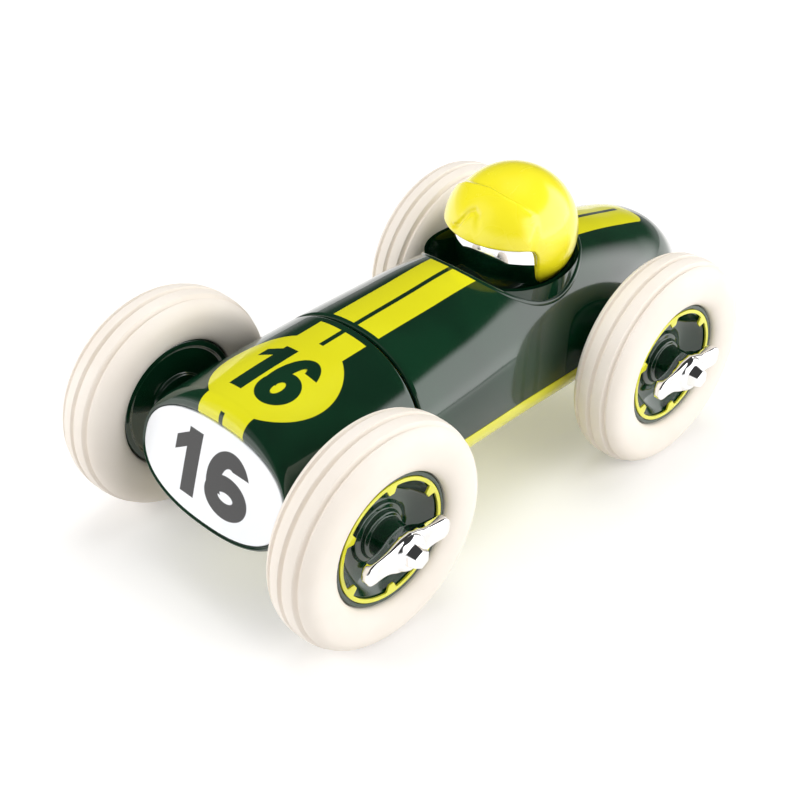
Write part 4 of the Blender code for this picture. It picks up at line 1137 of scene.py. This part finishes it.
def near_crease(side, up):
    """How deep the curled crease is here, from 0 to 1."""
    spot, nearest, along = Vector((side, up)), 99.0, 0.0
    for k, (start, end) in enumerate(zip(crease, crease[1:])):
        t = min(max((spot - start).dot(end - start) / (end - start).length_squared, 0.0), 1.0)
        reach = (spot - start.lerp(end, t)).length
        if reach < nearest:
            nearest, along = reach, (k + t) / (len(crease) - 1)
    width = 1.7 + 2.0 * along
    return math.exp(-(nearest / width) ** 2) * ease(along, 0.0, 0.15) * (1 - ease(along, 0.55, 1.0))


def helmet_height(side, up):
    """How far the shell rises over its ball, falling slowly at the visor's sides and crisply above."""
    slow = 4.0 + 6.0 * (1 - ease(up, 34.0, 46.0))
    plateau = 1 - ease(beyond_visor(side, up), -slow, 0.6)
    return visor_rise * plateau - crease_depth * near_crease(side, up)


# %% Helmet shell
helmet_rows = [("outside", 1 - i / 130) for i in range(131)]
helmet_rows += [("roll", math.pi * i / 12) for i in range(1, 12)]
helmet_rows += [("inside", i / 40) for i in range(41)]
square_start = 0.44             # how squarely a row leaves the rim on its way to the crown


def helmet_place(row, column):
    kind, share = helmet_rows[row]
    column %= 2 * half_columns
    on_right = column > half_columns
    i = 2 * half_columns - column if on_right else column
    way, inwards = rim_ways[i], rim_inwards[i]
    edge = (way + inwards * (helmet_wall / 2 / helmet_radius)).normalized()
    t = share if kind != "roll" else 0.0
    aim = (edge * (1 - t * t) + inwards * (square_start * t * (1 - t)) + Vector((0, 0, t * t))).normalized()
    flip = -1 if on_right else 1
    side = math.degrees(math.atan2(aim.y, aim.x)) * flip
    up = math.degrees(math.asin(min(aim.z, 1.0)))
    outer = helmet_radius + (helmet_height(side, up) if kind != "inside" else 0.0)
    inner = helmet_radius - helmet_wall
    if kind == "roll":
        point = aim * ((outer + inner) / 2 + (outer - inner) / 2 * math.cos(share))
        point -= inwards * (helmet_wall / 2 * math.sin(share))
    else:
        point = aim * (outer if kind == "outside" else inner)
    return head_at + Vector((point.x, point.y * flip, point.z))


helmet_sheet = wrapped_sheet(len(helmet_rows) - 1, 2 * half_columns, helmet_place)
finished(helmet_sheet, "helmet_shell", "chassis", helmet_gloss, ["helmet"], sharp=70)

# %% [markdown]
# ## Wheels
# All four wheels are alike, so each part is spun once round its own z axis and then turned to face
# outboard. The tyre's tread is crowned and carries three rounded grooves; its side bulges and falls to a
# bead against the rim. The profile is worked out as a fine row of points, because the grooves' soft edges
# show.

# %% Tyre profile
tyre_radius, tyre_half, bulge_radius, bore_radius, bead_half = 0.0375, 0.00985, 0.0295, 0.0224, 0.0064
crown_power = 2.5
groove_places, groove_half, groove_depth = (-0.0054, 0.0, 0.0054), 0.0010, 0.0013


def tread(offset):
    """The tyre's radius at an offset from its middle plane, with the grooves."""
    left_over = max(1 - (abs(offset) / tyre_half) ** crown_power, 0.0)
    radius = bulge_radius + (tyre_radius - bulge_radius) * left_over ** (1 / crown_power)
    for middle in groove_places:
        reach = abs(offset - middle) / groove_half
        if reach < 1:
            radius -= groove_depth * (0.5 + 0.5 * math.cos(math.pi * reach)) ** 0.8
    return radius


tread_steps, even_steps, even_share = 60, 52, 0.9785


def tread_offset(i):
    """Even steps over the tread, and ever closer ones where it bends into the side wall."""
    if abs(i) > even_steps:
        return tyre_half * math.sin(math.pi / 2 * i / tread_steps)
    return tyre_half * even_share * i / even_steps


tread_offsets = [tread_offset(i) for i in range(-tread_steps, tread_steps + 1)]
tread_profile = [(tread(offset), offset) for offset in tread_offsets]
side_wall = []
for i in range(1, 19):
    turn_down = math.pi / 2 * i / 18
    side_wall.append((bulge_radius - (bulge_radius - bore_radius) * math.sin(turn_down),
                      bead_half + (tyre_half - bead_half) * math.cos(turn_down)))
other_wall = [(radius, -offset) for radius, offset in reversed(side_wall)]
tyre_profile = other_wall + tread_profile + side_wall + other_wall[:1]
print("tyre profile has", len(tyre_profile), "points")

# %% [markdown]
# The hub is two mouldings: a dished disc outboard and a flatter one inboard, with a ledge that the yellow
# ring lies on. The dish falls in a hollow curve to a stepped boss in the middle. Corners are listed with
# their rounding, because every moulded corner has one and it is what catches the light.

# %% Hub profiles
hub_face, hub_split, dish_depth, boss_end = 0.0065, -0.0025, 0.0065, 0.0098
ring_outer, ring_width, ring_thickness, ring_seat = 0.0205, 0.0013, 0.0008, 0.00015
axle_radius = 0.0016
hub_rim = bore_radius - 0.0003
dish_floor = hub_face - dish_depth
dish_edge = ring_outer - ring_width - 0.0004
hub_bore = axle_radius + 0.0003
ledge = hub_face - ring_thickness - ring_seat
dish_start, dish_power = 0.0118, 2.2

dish = [(hub_bore, boss_end, 0), (0.0060, boss_end, 0.0005), (0.0064, dish_floor + 0.0036, 0.0004),
        (0.0077, dish_floor + 0.0034, 0.0005), (0.0080, dish_floor + 0.0018, 0.0004),
        (0.0098, dish_floor + 0.0016, 0.0005), (0.0102, dish_floor + 0.0002, 0.0005)]
for i in range(11):
    out, up = i / 10, (i / 10) ** dish_power
    dish.append((dish_start + (dish_edge - dish_start) * out, dish_floor + (ledge - dish_floor) * up, 0))
dish += [(ring_outer + 0.0003, ledge, 0), (ring_outer + 0.0003, hub_face - 0.0001, 0.0002),
         (hub_rim, hub_face, 0.0010), (hub_rim, hub_split, 0.0003), (hub_bore, hub_split, 0),
         (hub_bore, boss_end, 0)]


def back_profile(end):
    """The inboard disc, whose boss ends at a depth that differs from axle to axle."""
    face, start = -bead_half, hub_split - 0.0003
    return [(hub_bore, start, 0), (hub_rim, start, 0.0003), (hub_rim, face, 0.0010),
            (0.0200, face - 0.0002, 0.0004), (0.0190, face + 0.0010, 0.0006), (0.0105, face + 0.0010, 0.0008),
            (0.0098, face - 0.0002, 0.0005), (0.0064, face - 0.0012, 0.0008), (0.0046, end, 0.0006),
            (hub_bore, end, 0), (hub_bore, start, 0)]


print("dish %.1f mm deep" % (1e3 * (ledge - dish_floor)))

# %% [markdown]
# The yellow ring is flat, with six rounded tabs that reach in over the dish. Two circles make its sides:
# the inner one is pulled inwards where the tabs are. Bridging them gives a flat ring, which is extruded for
# its thickness and bevelled.

# %% Tabbed ring
tabs, tab_reach, tab_core, tab_foot = 6, 0.0024, 0.0010, 0.0021
ring_steps, ring_bevel = 432, 0.00018


def tabbed_ring(tab_angle):
    bm = bmesh.new()
    inner = ring_outer - ring_width
    bmesh.ops.create_circle(bm, segments=ring_steps, radius=ring_outer)
    inside = bmesh.ops.create_circle(bm, segments=ring_steps, radius=inner)["verts"]
    for vertex in inside:
        angle = math.atan2(vertex.co.y, vertex.co.x) - tab_angle
        bay = math.tau / tabs
        away = abs((angle + bay / 2) % bay - bay / 2) * inner
        reach = tab_reach * (1 - ease(away, tab_core, tab_foot)) ** 0.7
        vertex.co *= (inner - reach) / inner
    bmesh.ops.bridge_loops(bm, edges=bm.edges[:])
    bmesh.ops.translate(bm, vec=(0, 0, hub_face - ring_thickness + ring_seat), verts=bm.verts)
    raised(bm, ring_thickness)
    rims = [edge for edge in bm.edges if len(edge.link_faces) == 2 and edge.calc_face_angle() > 1.0]
    return bevelled(bm, rims, ring_bevel)


print("ring with", tabs, "tabs")

# %% [markdown]
# A two eared knock off nut holds each wheel. Seen from its side it is a bar with two paddles that sway like
# a propeller's, one a little up and one a little down. It starts as a wrapped sheet whose cross sections
# are squarish, and closes in a small rounded cap at each tip. The stepped collar and the six sided boss in
# the middle are turned and joined on.

# %% Spinner
ear_stations = (0.0, 0.0040, 0.0075, 0.0110, 0.0140, 0.0157, 0.0166)
ear_halves = (0.0067, 0.0058, 0.0043, 0.0038, 0.0037, 0.0031, 0.0018)
ear_sways = (0.0, 0.0001, 0.0006, 0.0011, 0.0014, 0.0015, 0.0015)
ear_depths = (0.0034, 0.0031, 0.0025, 0.0022, 0.0021, 0.0019, 0.0014)
ear_reach, ear_cap, ear_lift, ear_rise, ear_columns = ear_stations[-1], 0.0005, 0.0014, 0.0010, 72
hollow_depth, hollow_at, hollow_long = 0.0007, 0.0090, 0.0035
ear_turn = math.radians(4)
spinner_base = boss_end + 0.0003
ear_rows = [("cap", -1, i / 5) for i in range(6)] + [("ear", -1 + i / 30, 0) for i in range(1, 60)]
ear_rows += [("cap", 1, 1 - i / 5) for i in range(6)]


def ear_place(row, column):
    kind, share, shrink = ear_rows[row]
    x = ear_reach * share
    across, up = power_arc(4.0, angle_of(column, ear_columns))
    shapes = (ear_halves, ear_sways, ear_depths)
    half, sway, depth = (through(ear_stations, values, abs(x)) for values in shapes)
    if kind == "cap":
        x += share * ear_cap * math.sqrt(1 - shrink ** 2)
        half, depth = half * shrink, depth * shrink
    hollow = hollow_depth * math.exp(-((abs(x) - hollow_at) / hollow_long) ** 2)
    hollow *= max(up, 0.0) * (1 - across ** 2)
    middle_z = spinner_base + ear_lift + ear_rise * (x / ear_reach) ** 2
    return Vector((x, math.copysign(sway, x) + half * across, middle_z + depth * up - hollow))


collar_corners = [(0.0, spinner_base, 0), (0.0066, spinner_base, 0.0003),
                  (0.0062, spinner_base + 0.0042, 0.0008), (0.0050, spinner_base + 0.0055, 0.0006),
                  (0.0, spinner_base + 0.0056, 0)]
boss_foot, boss_head, boss_height, boss_rise, boss_bevel = 0.0044, 0.0031, 0.0036, 0.0070, 0.0004


def six_sided_boss():
    boss = bmesh.new()
    bmesh.ops.create_cone(boss, cap_ends=True, segments=6, radius1=boss_foot, radius2=boss_head,
                          depth=boss_height, matrix=Matrix.Translation((0, 0, spinner_base + boss_rise)))
    return bevelled(boss, boss.edges[:], boss_bevel)


def to_wheel(middle, side):
    """Turn a part's own z axis outboard and put it on the axle."""
    return Matrix.Translation(middle) @ Matrix.Rotation(-side * math.pi / 2, 4, "X")


def spinner_shape(name, node_name, body, side, middle):
    """The ears with the collar and the boss joined on, turned to face outboard."""
    ears = wrapped_sheet(len(ear_rows) - 1, ear_columns, ear_place)
    bmesh.ops.rotate(ears, cent=(0, 0, 0), matrix=Matrix.Rotation(-side * ear_turn, 3, "Z"), verts=ears.verts)
    piece = finished(ears, name, body, chrome, [node_name], sharp=45)
    cut(piece, turned(soften(collar_corners, 5), 64), "UNION")
    cut(piece, six_sided_boss(), "UNION")
    piece.data.transform(to_wheel(middle, side))
    smooth_but_sharp(piece.data, 40)


print("spinner %.1f mm long" % (2e3 * (ear_reach + ear_cap)))

# %% [markdown]
# Now the four wheels are put together. The inboard boss reaches to the body, which is wider at the front
# axle than at the rear, so its length comes from the body's own section.

# %% Four wheels
boss_to_body = 0.0016           # the gap between the inboard boss and the body's side
tyre_steps, hub_steps = 144, 96

for end, axle, tab_turn in (("front", front_axle, 28.4), ("rear", rear_axle, 21.0)):
    body = end + "_wheels"
    boss_reach = section(axle.x)[0] + boss_to_body - track / 2
    for side_name, side in (("left", 1), ("right", -1)):
        label = "_" + end + "_" + side_name
        middle = Vector((axle.x, side * track / 2, axle_z))
        shapes = (("tyre", turned(tyre_profile, tyre_steps), cream_rubber),
                  ("wheel_disc", turned(soften(dish, 5), hub_steps), green_gloss),
                  ("wheel_back", turned(soften(back_profile(boss_reach), 5), hub_steps), green_gloss),
                  ("wheel_ring", tabbed_ring(-side * math.radians(tab_turn)), yellow_gloss))
        for name, shape, material in shapes:
            bmesh.ops.transform(shape, matrix=to_wheel(middle, side), verts=shape.verts)
            finished(shape, name + label + "_skin", body, material, [name + label], sharp=32)
        spinner_shape("spinner" + label + "_nut", "spinner" + label, body, side, middle)
